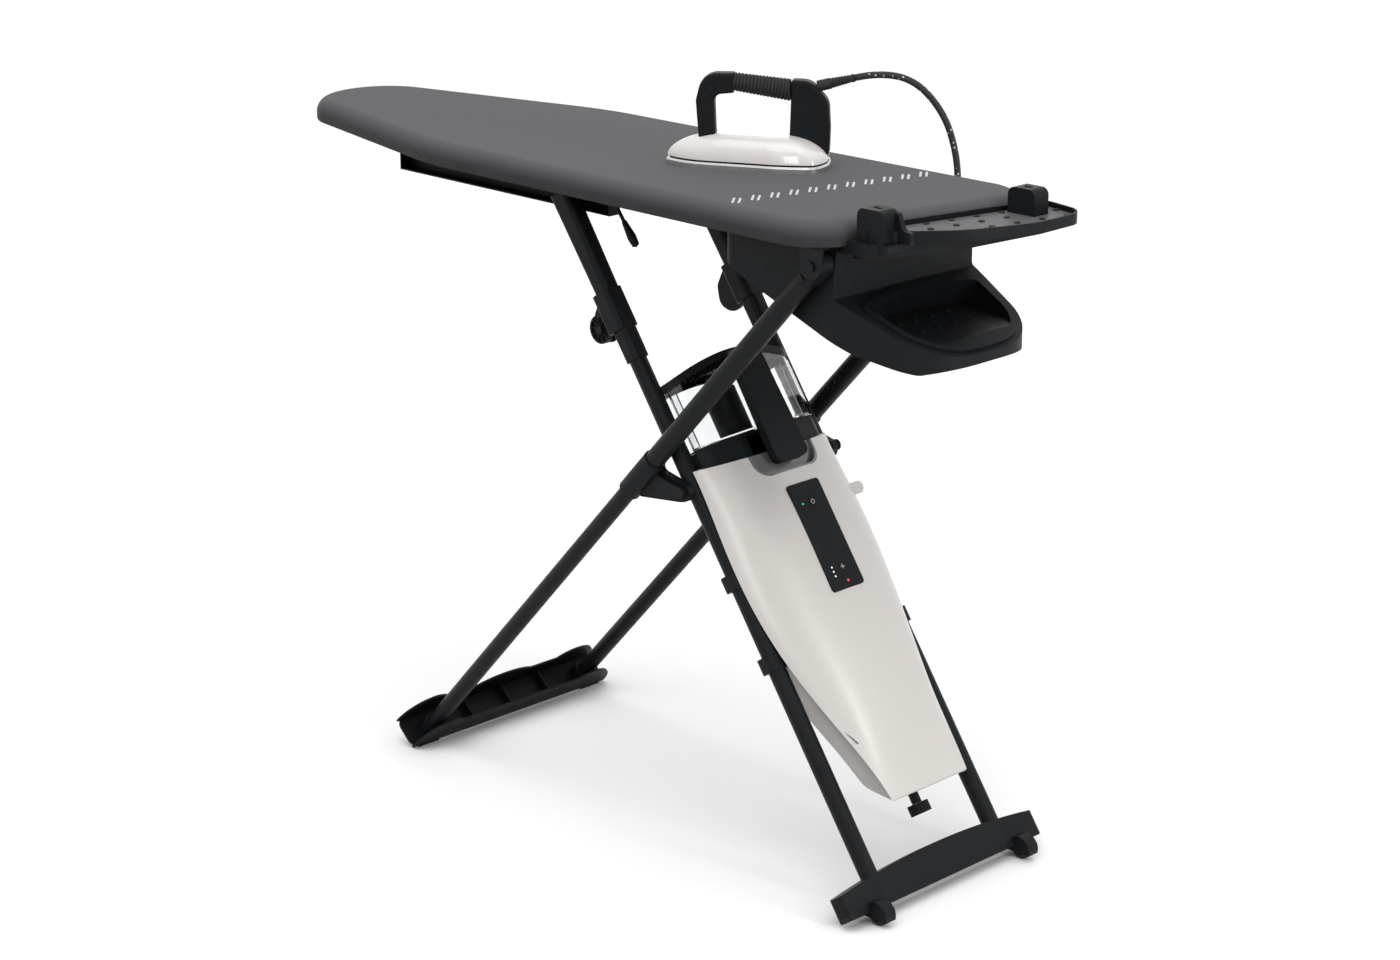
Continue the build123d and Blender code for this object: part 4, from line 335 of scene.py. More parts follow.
def smoked_plastic(settings):
    """Smoked grey plastic, as on the dish behind the handle."""
    s = Shader("smoked_plastic")
    s.colour(s.tones(s.noise(scale=20.0), tuple(settings.recess_colour), dark=0.92, light=1.08))
    s.rough_cloud(low=0.14, high=0.24, scale=200.0)
    s.grain(scale=600.0, detail=1.0, depth=0.00001, strength=0.3)
    s.set(Coat_Weight=0.5, Coat_Roughness=0.08)
    return s.material


# Shares of the fibres in the height of the cloth, and of that height and the slubs in its tone; the height's
# share is painted shade between the threads, the slubs are the yarn's own.
FIBRE_HEIGHT = 0.5
THREAD_SHADE = 0.6
SLUB_TONE = 0.45


def woven_cloth(settings):
    """Grey cotton: the product of warp and weft bands, with fibres, slubs and a soft sheen; in the tone the
    bands give painted shade between the threads, and the skirt is painted darker than the level top, as
    painted shade."""
    s = Shader("woven_cloth")
    colour = tuple(settings.cloth_colour)
    pitch = 1 / settings.weave_pitch
    threads = s.times(s.wave(pitch, "X"), s.wave(pitch, "Y"))
    fibre = s.noise(scale=2200.0, detail=2.0)
    slub = s.noise(scale=160.0, points=s.points(stretch=(0.25, 1, 1)))
    height = s.sum(threads, s.times(fibre, FIBRE_HEIGHT))
    # The tone: painted shade between the threads from the height, and the yarn's own slubs.
    tone = s.sum(s.times(height, THREAD_SHADE), s.times(slub, SLUB_TONE))
    tone = s.spread(tone, low=0, high=1, start=0.25, end=0.95)
    level_tone = s.tones(tone, colour, dark=0.86, light=1.1)
    # A darker copy of the cloth: painted shade for the skirt, whose sides face away from the light overhead.
    painted_shade_skirt = s.tones(tone, colour, dark=0.5, light=0.64)
    normal = s.parts(s.add("ShaderNodeNewGeometry").outputs["True Normal"])
    # Painted shade by the normal: level faces take the top tone, steep faces the darker copy.
    level = s.spread(normal["Z"], low=0, high=1, start=0.0, end=0.75)
    s.colour(s.blend(level, painted_shade_skirt, level_tone))
    s.rough(s.spread(fibre, low=0.78, high=0.92, start=NOISE_LOW, end=NOISE_HIGH))
    s.bump(height, depth=0.00012, strength=0.5)
    s.set(Sheen_Weight=0.1, Sheen_Roughness=0.4, Specular_IOR_Level=0.2)
    return s.material


# Colour of the pale flecks on the cord, which are painted highlights.
GLINT_COLOUR = (0.6, 0.6, 0.6)


def braided_cord(settings):
    """Textile braid on the cord's own UV map: the larger of two sines that cross, one of the sum and one of
    the difference of the ways along and around; its height also gives painted shade in the grooves and a
    painted highlight on the crowns, and pale flecks at the middles of Voronoi cells are painted highlights."""
    s = Shader("braided_cord")
    colour = tuple(settings.cord_colour)
    parts = s.parts(s.points(source="UV"))
    along = s.times(parts["X"], settings.braid_rate)
    around = s.times(parts["Y"], settings.braid_strands)
    one = s.sum(s.times(s.sum(along, around), 2 * math.pi), 0, "SINE")
    other = s.sum(s.times(s.sum(along, around, "SUBTRACT"), 2 * math.pi), 0, "SINE")
    height = s.spread(s.sum(one, other, "MAXIMUM"), low=0, high=1, start=-0.6, end=1)
    # The braid's colour by height: painted shade in the grooves, painted highlight on the crowns.
    braid = s.tones(height, colour, dark=0.5, light=1.5)
    # Pale flecks at the middles of Voronoi cells: painted highlights on the black braid.
    cells = s.add("ShaderNodeTexVoronoi")
    cells.inputs["Scale"].default_value = 1.0
    flecks = s.points(stretch=(settings.glint_rate, settings.glints_round, 1), source="UV")
    s.join(flecks, cells.inputs["Vector"])
    painted_glint = s.spread(cells.outputs["Distance"], low=1, high=0, start=0.16, end=0.24)
    s.colour(s.blend(painted_glint, braid, GLINT_COLOUR))
    s.rough(s.spread(height, low=0.75, high=0.5))
    s.bump(height, depth=0.0003, strength=0.8)
    s.set(Sheen_Weight=0.1)
    return s.material


# Heights on the panel, as shares of the lamps' box, above which a lamp is green and below which it is red.
GREEN_ABOVE = 0.5
RED_BELOW = 0.055
GREEN_LAMP = (0.02, 0.5, 0.14)
WHITE_LAMP = (0.9, 0.9, 0.88)
RED_LAMP = (0.75, 0.03, 0.03)


def lit_lenses():
    """Small lamps, coloured by their height on the panel: green on top, then white dots, red below."""
    s = Shader("lit_lenses")
    low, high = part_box("panel_lights")
    height = s.spread(s.parts(s.points())["Z"], 0, 1, low[2], high[2])
    glow = s.blend(s.sum(height, GREEN_ABOVE, "GREATER_THAN"), WHITE_LAMP, GREEN_LAMP)
    glow = s.blend(s.sum(height, RED_BELOW, "LESS_THAN"), glow, RED_LAMP)
    s.colour(glow)
    s.join(glow, s.surface.inputs["Emission Color"])
    s.rough(s.spread(s.noise(scale=400.0), low=0.2, high=0.3))
    s.set(Emission_Strength=0.55)
    return s.material


def printed_white():
    """Pale printing ink, thinner in places."""
    s = Shader("printed_white")
    thin = (0.42, 0.43, 0.45)
    full = (0.72, 0.73, 0.75)
    s.colour(s.blend(s.cloud(scale=1500.0, start=0.35, end=0.6), thin, full))
    s.rough(s.spread(s.noise(scale=800.0), low=0.5, high=0.7))
    s.grain(scale=2000.0, depth=0.00003, strength=0.4)
    return s.material


def finishes(settings):
    """One material for each slot of the record, and one for the printing ink."""
    black = moulded_black(settings)
    return {
        "cover_cloth": woven_cloth(settings),
        "black_plastic": black,
        "black_paint": painted_black(settings),
        "shell_plastic": lacquered_shell(settings),
        "cream_plastic": glazed_cream(settings),
        "steel": brushed_metal("turned_steel", colour=(0.5, 0.5, 0.5), smooth=0.24, rough=0.36),
        "sole_metal": brushed_metal("sole_metal", colour=(0.66, 0.66, 0.66), smooth=0.2, rough=0.32),
        "rubber": matt_rubber(settings),
        "clear_plastic": clear_plastic(),
        "recess_plastic": smoked_plastic(settings),
        "cord_braid": braided_cord(settings),
        "dish_plastic": black,
        "lamp": lit_lenses(),
        "print": printed_white(),
    }


made = {}


def finish_of(slot_name):
    """The material of a slot, made once."""
    if not made:
        made.update(finishes(bpy.context.scene.ironing_finish))
    return made[slot_name]


# Meshes

# Points of a mesh, and points of a line, that lie closer than these are one.
SAME_POINT = 1e-6
SAME_STEP = 1e-7


def new_piece(name, points, faces, slot_name, body, smooth=True):
    """A mesh object at the origin, with outward faces, that rides on a body; the ink is no slot of the
    record."""
    mesh = bpy.data.meshes.new(name)
    mesh.from_pydata([tuple(p) for p in points], [], faces)
    work = bmesh.new()
    work.from_mesh(mesh)
    bmesh.ops.remove_doubles(work, verts=work.verts, dist=SAME_POINT)
    bmesh.ops.recalc_face_normals(work, faces=work.faces)
    work.to_mesh(mesh)
    work.free()
    mesh.polygons.foreach_set("use_smooth", np.full(len(mesh.polygons), smooth))
    piece = bpy.data.objects.new(name, mesh)
    bpy.context.collection.objects.link(piece)
    mesh.materials.append(finish_of(slot_name))
    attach(piece, body)
    return piece


def grid_faces(rows, columns, wrap):
    """Quads of a grid of rows by columns, joined round where wrap is set."""
    row = np.arange(rows - 1)[:, None]
    column = np.arange(columns if wrap else columns - 1)[None, :]
    after = (column + 1) % columns
    near = row * columns
    far = (row + 1) * columns
    quads = np.stack([near + column, near + after, far + after, far + column], axis=-1)
    return quads.reshape(-1, 4).tolist()


def capped_faces(rows, columns):
    """Quads of a grid that is joined round, and a face on its first row and on its last."""
    first = list(range(columns))[::-1]
    last = list(range((rows - 1) * columns, rows * columns))
    return grid_faces(rows, columns, True) + [first, last]


def rounded_outline(corners, radii, steps):
    """A closed outline: at each corner the arc that touches both sides, as points of equal angle."""
    corners = np.array(corners, float)
    parts = []
    for before, here, after, radius in zip(np.roll(corners, 1, 0), corners, np.roll(corners, -1, 0), radii):
        inward = (before - here) / np.linalg.norm(before - here)
        outward = (after - here) / np.linalg.norm(after - here)
        half = math.acos(np.clip(inward @ outward, -1, 1)) / 2
        bisector = (inward + outward) / np.linalg.norm(inward + outward)
        centre = here + bisector * radius / math.sin(half)
        start = here + inward * radius / math.tan(half) - centre
        end = here + outward * radius / math.tan(half) - centre
        first = math.atan2(start[1], start[0])
        turn = (math.atan2(end[1], end[0]) - first + math.pi) % (2 * math.pi) - math.pi
        angles = first + turn * np.linspace(0, 1, steps)
        parts.append(centre + radius * np.stack([np.cos(angles), np.sin(angles)], axis=-1))
    return np.concatenate(parts)


def even_outline(points, count):
    """The same closed line at equal steps of its length."""
    closed = np.vstack([points, points[:1]])
    steps = np.concatenate([[0], np.cumsum(np.linalg.norm(np.diff(closed, axis=0), axis=1))])
    places = np.linspace(0, steps[-1], count, endpoint=False)
    return np.stack([np.interp(places, steps, closed[:, i]) for i in (0, 1)], axis=-1)


def outline_normals(points):
    """Unit normals of a closed line, pointing outwards for a line drawn anticlockwise."""
    run = np.roll(points, -1, 0) - np.roll(points, 1, 0)
    run = run / np.linalg.norm(run, axis=1, keepdims=True)
    return np.stack([run[:, 1], -run[:, 0]], axis=-1)


# The cover and its printed dashes

class CoverSettings(bpy.types.PropertyGroup):
    """The board's padded cover."""

    length: bpy.props.FloatProperty(
        name="Length", description="Board length on the middle line", default=1.191, unit="LENGTH")
    half_width: bpy.props.FloatProperty(
        name="Half width", description="Half the board's width at the tail", default=0.186, unit="LENGTH")
    edge_radius: bpy.props.FloatProperty(
        name="Edge radius", description="Rounding of the padded edge", default=0.021, unit="LENGTH")
    wall: bpy.props.FloatProperty(
        name="Wall", description="Thickness of the cloth and felt at the skirt", default=0.003, unit="LENGTH")
    pad: bpy.props.FloatProperty(
        name="Pad", description="Thickness of the pad on the deck", default=0.01, unit="LENGTH")
    pucker: bpy.props.FloatProperty(
        name="Pucker", description="Depth of the gathers above the hem", default=0.0005, unit="LENGTH")


# The outline on the drawing: half the width at the nose, the place and half width of the shoulder, the radii
# of nose, shoulder and tail, and the tail's slant as a share of the half width.
NOSE_HALF = 80
SHOULDER_X = 412
SHOULDER_HALF = 180
NOSE_RADIUS = 99
SHOULDER_RADIUS = 500
TAIL_RADIUS = 70
TAIL_SKEW = 0.2222
ARC_POINTS = 40

# The profile of the cover in metres: the insets of its level rings, the height and rounding of the hem, and
# the steps inside it from the skirt to the underside of the pad.
COVER_POINTS = 620
LEVEL_INSETS = (0.06, 0.045, 0.034)
EDGE_POINTS = 12
SKIRT_POINTS = 8
HEM_HEIGHT = 0.0012
HEM_INSET = 0.0006
HEM_LIFT = 0.0003
INNER_DROP = 0.002
INNER_STEP = 0.003
INNER_INSET = 0.045

# The number round the board, the share of the depth and the phase of each wave of the gathers.
GATHERS = ((97, 0.6, 0), (61, 0.4, 1))


def cover_outline(settings):
    """The board seen from above: a blunt nose, slow shoulders and a skewed tail with round corners."""
    half = settings.half_width / MM
    length = settings.length / MM
    skew = TAIL_SKEW * half
    near = [(0, -NOSE_HALF), (SHOULDER_X, -SHOULDER_HALF), (length - skew, -half)]
    far = [(length + skew, half), (SHOULDER_X, SHOULDER_HALF), (0, NOSE_HALF)]
    radii = [NOSE_RADIUS, SHOULDER_RADIUS, TAIL_RADIUS]
    outline = rounded_outline(near + far, radii + radii[::-1], ARC_POINTS)
    return even_outline(outline, COVER_POINTS) * MM + np.array([NOSE_X, 0])


def cover_profile(settings, low, high):
    """The insets from the outline and the heights of the cover's rings, from the middle of its top over the
    quarter round of the edge and down the skirt, round the hem and back up inside to the pad."""
    radius = settings.edge_radius
    wall = settings.wall
    inside = high - settings.pad
    turn = np.linspace(0, math.pi / 2, EDGE_POINTS)
    skirt = np.linspace(high - radius, low + HEM_HEIGHT, SKIRT_POINTS)[1:]
    inset = list(LEVEL_INSETS) + list(radius * (1 - np.sin(turn))) + [0.0] * len(skirt)
    height = [high] * len(LEVEL_INSETS) + list(high - radius * (1 - np.cos(turn))) + list(skirt)
    inset += [HEM_INSET, wall / 2, wall - HEM_INSET, wall]
    height += [low + HEM_LIFT, low, low + HEM_LIFT, low + HEM_HEIGHT]
    inset += [wall, wall + INNER_STEP, INNER_INSET]
    height += [inside - INNER_DROP, inside, inside]
    return np.array(inset), np.array(height)


class IRONING_OT_cover(bpy.types.Operator):
    """Make the padded cloth cover of the board"""

    bl_idname = "ironing.cover"
    bl_label = "Cover"

    def execute(self, context):
        """Rings of the outline at the insets and heights of the cover's profile; the hem is gathered by
        a sum of two sines of the place along the outline, which grows with the square of the depth."""
        settings = context.scene.ironing_cover
        low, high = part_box("board_cover")
        outline = cover_outline(settings)
        normals = outline_normals(outline)
        inset, height = cover_profile(settings, low[2], high[2])
        angle = np.arange(COVER_POINTS) / COVER_POINTS * 2 * math.pi
        gathers = sum(np.sin(angle * number + phase) * share for number, share, phase in GATHERS)
        depth = np.clip((high[2] - height) / (high[2] - low[2]), 0, 1) ** 2
        wall_share = np.exp(-((inset / settings.wall) ** 2))
        ripple = gathers[None, :] * (depth * wall_share)[:, None] * settings.pucker
        places = outline[None] - normals[None] * (inset[:, None] + np.abs(ripple))[..., None]
        heights = np.broadcast_to(height[:, None, None], (*places.shape[:2], 1))
        points = np.concatenate([places, heights], axis=-1).reshape(-1, 3)
        faces = capped_faces(len(inset), COVER_POINTS)
        piece = new_piece("cloth_cover", points, faces, "cover_cloth", "board")
        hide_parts("board_cover")
        return {"FINISHED"}


class MarkSettings(bpy.types.PropertyGroup):
    """The row of printed dashes on the cover."""

    count: bpy.props.IntProperty(name="Count", description="Number of signs in the row", default=11, min=2)
    length: bpy.props.FloatProperty(
        name="Length", description="Length of a dash", default=0.03, unit="LENGTH")
    width: bpy.props.FloatProperty(
        name="Width", description="Width of a dash", default=0.0032, unit="LENGTH")
    gap: bpy.props.FloatProperty(
        name="Gap", description="Distance between the two dashes of a sign", default=0.008, unit="LENGTH")
    slant: bpy.props.FloatProperty(
        name="Slant", description="Turn of the dashes from the board's length", default=math.radians(129),
        unit="ROTATION")
    place: bpy.props.FloatProperty(
        name="Place", description="Distance of the row from the nose", default=1.012, unit="LENGTH")
    row_length: bpy.props.FloatProperty(
        name="Row length", description="Length of the row", default=0.29, unit="LENGTH")
    row_skew: bpy.props.FloatProperty(
        name="Row skew", description="Slant of the row, as that of the tail", default=TAIL_SKEW)


# A dash: its corner radius as a share of half its width, the points of a corner, and its thickness in metres.
DASH_ROUNDING = 0.95
DASH_CORNER_POINTS = 6
DASH_HEIGHT = 0.00018


class IRONING_OT_marks(bpy.types.Operator):
    """Make the row of plain printed dashes near the tail of the cover"""

    bl_idname = "ironing.marks"
    bl_label = "Printed dashes"

    def execute(self, context):
        """Pairs of slanting rounded bars on a straight row, each a flat outline with a small thickness."""
        settings = context.scene.ironing_marks
        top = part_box("board_cover")[1][2]
        half = settings.length / 2
        wide = settings.width / 2
        corners = [(-half, -wide), (half, -wide), (half, wide), (-half, wide)]
        bar = rounded_outline(corners, [wide * DASH_ROUNDING] * len(corners), DASH_CORNER_POINTS)
        bar_faces = np.array(grid_faces(2, len(bar), True))
        cosine = math.cos(settings.slant)
        sine = math.sin(settings.slant)
        slant = np.array([[cosine, sine], [-sine, cosine]])
        row = np.linspace(-0.5, 0.5, settings.count) * settings.row_length
        centres = np.column_stack([settings.place + settings.row_skew * row, row])
        points = []
        faces = []
        for centre in centres:
            for side in (-0.5, 0.5):
                ring = (bar + np.array([0, side * settings.gap])) @ slant + centre
                start = len(points) * len(ring)
                for z in (top, top + DASH_HEIGHT):
                    points.append(np.column_stack([NOSE_X + ring[:, 0], ring[:, 1], np.full(len(ring), z)]))
                faces += (start + bar_faces).tolist()
                faces.append(list(range(start + len(ring), start + 2 * len(ring))))
                faces.append(list(range(start, start + len(ring)))[::-1])
        new_piece("cover_dashes", np.concatenate(points), faces, "print", "board", smooth=False)
        return {"FINISHED"}


# The iron's own directions: a along it from the tip, b to its side, h above the cloth

IRON_TIP = (750.0, -45.0)
IRON_TURN = math.radians(38.0)
CLOTH_TOP = 925.0
HANDLE_LIFT = 4.0


def iron_point(a, b, h):
    """A place on the iron's handle, as a point of the frame."""
    x = IRON_TIP[0] + a * math.cos(IRON_TURN) - b * math.sin(IRON_TURN)
    y = IRON_TIP[1] + a * math.sin(IRON_TURN) + b * math.cos(IRON_TURN)
    return at(x, y, CLOTH_TOP + HANDLE_LIFT + h)


# The cord

class CordSettings(bpy.types.PropertyGroup):
    """The iron's cord and its winding."""

    diameter: bpy.props.FloatProperty(
        name="Diameter", description="Diameter of the braided cord", default=0.0092, unit="LENGTH")
    length: bpy.props.FloatProperty(
        name="Length", description="Real length of the cord", default=1.89, unit="LENGTH")
    coil_radius: bpy.props.FloatProperty(
        name="Inner turn", description="Radius of the innermost turn", default=0.042, unit="LENGTH")
    coil_pitch: bpy.props.FloatProperty(
        name="Turn pitch", description="Distance between turns", default=0.0099, unit="LENGTH")
    quarters: bpy.props.IntProperty(
        name="Quarter turns", description="Number of quarter turns", default=18, min=4)


RELIEF_START = (204.0, 105.0)
RELIEF_TILT = math.radians(14.0)
RELIEF_LENGTH = 50.0

# The straight length of the cord behind the strain relief, its places on the drawing from there to the
# start of the winding, and its last heights in metres, under and in the outlet.
CORD_STRAIGHT = 31.3
CORD_ROUTE = (
    (1013.0, 159.0, 1046.0),
    (1045.0, 181.5, 1004.0),
    (1060.5, 191.0, 953.0),
    (1066.0, 191.5, 905.0),
    (1066.0, 187.0, 868.0),
    (1066.0, 187.0, 831.2),
    (1066.0, 187.0, 822.0),
)
OUTLET_HEIGHTS = (0.85, 0.886)

# Control points in a quarter turn, the spline's order and steps, and the sides of the cord's tube.
QUARTER_STEPS = 4
SPLINE_ORDER = 3
SPLINE_STEPS = 10
CORD_SIDES = 20


def relief_point(distance):
    """A place on the axis of the strain relief."""
    return iron_point(RELIEF_START[0] + distance * math.cos(RELIEF_TILT), 0,
                      RELIEF_START[1] + distance * math.sin(RELIEF_TILT))


def eased(share):
    """A share that starts and ends gently: three times its square less twice its cube."""
    return share * share * (3 - 2 * share)


def winding(settings):
    """The winding's control points: a spiral in, a climb to the second layer, and a spiral out. The points
    lie further out than the cord, because beside each of them the spline is the sum of an eighth, six eighths
    and an eighth of three neighbours."""
    step = np.arange(1, settings.quarters * QUARTER_STEPS) / QUARTER_STEPS
    middle = settings.quarters / 2
    growth = settings.coil_pitch / 4
    swell = 8 / (6 + 2 * math.cos(math.pi / 2 / QUARTER_STEPS))
    radius = (settings.coil_radius + growth * np.abs(step - middle)) * swell
    angle = -step * math.pi / 2
    climb = eased(np.clip((step - (middle - 1)) / 2, 0, 1))
    outer = settings.coil_radius + growth * middle
    centre = at(*CORD_ROUTE[-1]) - np.array([outer, 0, 0])
    turns = np.column_stack([
        centre[0] + radius * np.cos(angle),
        centre[1] - settings.coil_pitch * climb,
        centre[2] + radius * np.sin(angle),
    ])
    return turns, centre, outer


def cord_points(settings):
    """The cord's control points, from the strain relief to the outlet under the board."""
    turns, centre, outer = winding(settings)
    relief = [relief_point(RELIEF_LENGTH), relief_point(RELIEF_LENGTH + CORD_STRAIGHT)]
    route = [at(*place) for place in CORD_ROUTE]
    x = centre[0] - outer
    y = centre[1] - settings.coil_pitch
    tail = [np.array([x, y, z]) for z in (centre[2], *OUTLET_HEIGHTS)]
    return np.vstack([relief, route, turns, tail])


def spline_line(name, points):
    """Points read from a NURBS spline of order three through the control points."""
    curve = bpy.data.curves.new(name, "CURVE")
    curve.dimensions = "3D"
    spline = curve.splines.new("NURBS")
    spline.points.add(len(points) - 1)
    spline.points.foreach_set("co", np.column_stack([points, np.ones(len(points))]).ravel())
    spline.order_u = SPLINE_ORDER
    spline.use_endpoint_u = True
    spline.resolution_u = SPLINE_STEPS
    carrier = bpy.data.objects.new(name, curve)
    bpy.context.collection.objects.link(carrier)
    bpy.context.view_layer.update()
    mesh = bpy.data.meshes.new_from_object(carrier)
    line = np.empty(len(mesh.vertices) * 3)
    mesh.vertices.foreach_get("co", line)
    bpy.data.objects.remove(carrier)
    bpy.data.curves.remove(curve)
    bpy.data.meshes.remove(mesh)
    line = line.reshape(-1, 3)
    keep = np.concatenate([[True], np.linalg.norm(np.diff(line, axis=0), axis=1) > SAME_STEP])
    return line[keep]


def tube(name, line, radius, sides, slot_name, body):
    """A round tube: at each point of the line a circle in the plane square to the line, with a UV map of
    metres along and turns around, where a face that closes the ring counts its first side as a full turn."""
    run = np.gradient(line, axis=0)
    run = run / np.linalg.norm(run, axis=1, keepdims=True)
    across = np.cross(run, np.array([0.0, 1.0, 0.0]))
    across = across / np.linalg.norm(across, axis=1, keepdims=True)
    up = np.cross(across, run)
    angle = np.linspace(0, 2 * math.pi, sides, endpoint=False)
    circle = across[:, None] * np.cos(angle)[None, :, None] + up[:, None] * np.sin(angle)[None, :, None]
    points = (line[:, None] + circle * radius).reshape(-1, 3)
    piece = new_piece(name, points, capped_faces(len(line), sides), slot_name, body)
    mesh = piece.data
    along = np.concatenate([[0], np.cumsum(np.linalg.norm(np.diff(line, axis=0), axis=1))])
    layer = mesh.uv_layers.new(name="UVMap")
    corners = np.empty(len(mesh.loops), int)
    mesh.loops.foreach_get("vertex_index", corners)
    row, column = corners // sides, corners % sides
    owner = np.repeat(np.arange(len(mesh.polygons)), [p.loop_total for p in mesh.polygons])
    has_last = np.zeros(len(mesh.polygons), bool)
    has_first = np.zeros(len(mesh.polygons), bool)
    np.logical_or.at(has_last, owner, column == sides - 1)
    np.logical_or.at(has_first, owner, column == 0)
    crosses = has_last & has_first
    turned = np.where(crosses[owner] & (column == 0), sides, column)
    layer.data.foreach_set("uv", np.column_stack([along[row], turned / sides]).ravel())
    return piece


class IRONING_OT_cord(bpy.types.Operator):
    """Make the iron's braided cord with its winding"""

    bl_idname = "ironing.cord"
    bl_label = "Cord"

    def execute(self, context):
        """A tube along the cord's spline."""
        settings = context.scene.ironing_cord
        line = spline_line("cord_route", cord_points(settings))
        piece = tube("braided_cord", line, settings.diameter / 2, CORD_SIDES, "cord_braid", "board")
        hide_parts("iron_cord", "iron_cord_coil")
        return {"FINISHED"}


# The generator's own directions: s up along the leg, n out of its front, y across

LEG_TURN = math.radians(55.15)
LEG_TOP = (637.0, 868.0)
LEG_LENGTH = 1002.0
LEG_FOOT = (LEG_TOP[0] + LEG_LENGTH * math.cos(LEG_TURN), LEG_TOP[1] - LEG_LENGTH * math.sin(LEG_TURN))


def leg_point(s, y, n):
    """Places on the generator, as points of the frame; each argument may be an array."""
    s, y, n = np.broadcast_arrays(np.asarray(s, float), y, n)
    x = LEG_FOOT[0] - s * math.cos(LEG_TURN) + n * math.sin(LEG_TURN)
    z = LEG_FOOT[1] + s * math.sin(LEG_TURN) + n * math.cos(LEG_TURN)
    return np.stack([NOSE_X + x * MM, y * MM, z * MM], axis=-1)


# The signs on the keys in millimetres: how far the keys' faces stand out and how thick the ink is; the middle
# of each sign, across and up the leg, and the width of its lines; the open ring with its stroke; the plus.
KEY_FACE = 65.5
INK_HEIGHT = 0.12
POWER_PLACE = (3.1, 492.0)
POWER_LINE = 0.75
PLUS_PLACE = (3.6, 395.0)
PLUS_LINE = 1.0
RING_RADIUS = 3.0
RING_START = math.radians(120)
RING_END = math.radians(420)
RING_POINTS = 40
STROKE_START = 1.2
STROKE_END = 4.2
STROKE_POINTS = 6
PLUS_REACH = 3.4


def strip(line, width):
    """A flat ribbon of a width along a line in the plane of the panel, as an inner and an outer edge."""
    run = np.gradient(line, axis=0)
    run = run / np.linalg.norm(run, axis=1, keepdims=True)
    side = np.stack([-run[:, 1], run[:, 0]], axis=-1) * width / 2
    return line - side, line + side


def ink(name, lines, width, centre, body):
    """Printed lines: each a ribbon with a small thickness, laid on the face of a key."""
    points = []
    faces = []
    start = 0
    top = KEY_FACE + INK_HEIGHT
    for line in lines:
        inner, outer = strip(line, width)
        edges = [(inner, KEY_FACE), (outer, KEY_FACE), (outer, top), (inner, top)]
        for edge, n in edges:
            points.append(leg_point(centre[1] + edge[:, 1], centre[0] + edge[:, 0], n))
        count = len(line)
        quads = np.array(grid_faces(len(edges) + 1, count, False)) % (len(edges) * count)
        faces += (quads + start).tolist()
        faces.append([start + k * count for k in range(len(edges))])
        faces.append([start + k * count + count - 1 for k in range(len(edges))][::-1])
        start += len(edges) * count
    return new_piece(name, np.concatenate(points), faces, "print", body, smooth=False)


def stroke(start, end):
    """A straight line from start to end on the upright axis of the panel."""
    return np.column_stack([np.zeros(STROKE_POINTS), np.linspace(start, end, STROKE_POINTS)])


class IRONING_OT_icons(bpy.types.Operator):
    """Make the plain signs on the two keys: an open ring with a stroke, and a plus"""

    bl_idname = "ironing.icons"
    bl_label = "Key signs"

    def execute(self, context):
        """An arc of a circle with a short stroke in its gap, and two crossing strokes."""
        angle = np.linspace(RING_START, RING_END, RING_POINTS)
        ring = np.column_stack([np.cos(angle), np.sin(angle)]) * RING_RADIUS
        ink("power_sign", [ring, stroke(STROKE_START, STROKE_END)], POWER_LINE, POWER_PLACE, "power_key")
        upright = stroke(-PLUS_REACH, PLUS_REACH)
        ink("plus_sign", [upright[:, ::-1], upright], PLUS_LINE, PLUS_PLACE, "fan_key")
        return {"FINISHED"}


# The rigid nodes

class IRONING_OT_finish(bpy.types.Operator):
    """Give every rigid node the finish of its slot"""

    bl_idname = "ironing.finish"
    bl_label = "Finishes"

    def execute(self, context):
        """Each node takes the material of the slot that the record names."""
        slots = {part["node"]: part["material_slot"] for part in frame["record"]["subparts"]}
        for name, node in frame["nodes"].items():
            node.data.materials.clear()
            node.data.materials.append(finish_of(slots[name]))
        return {"FINISHED"}


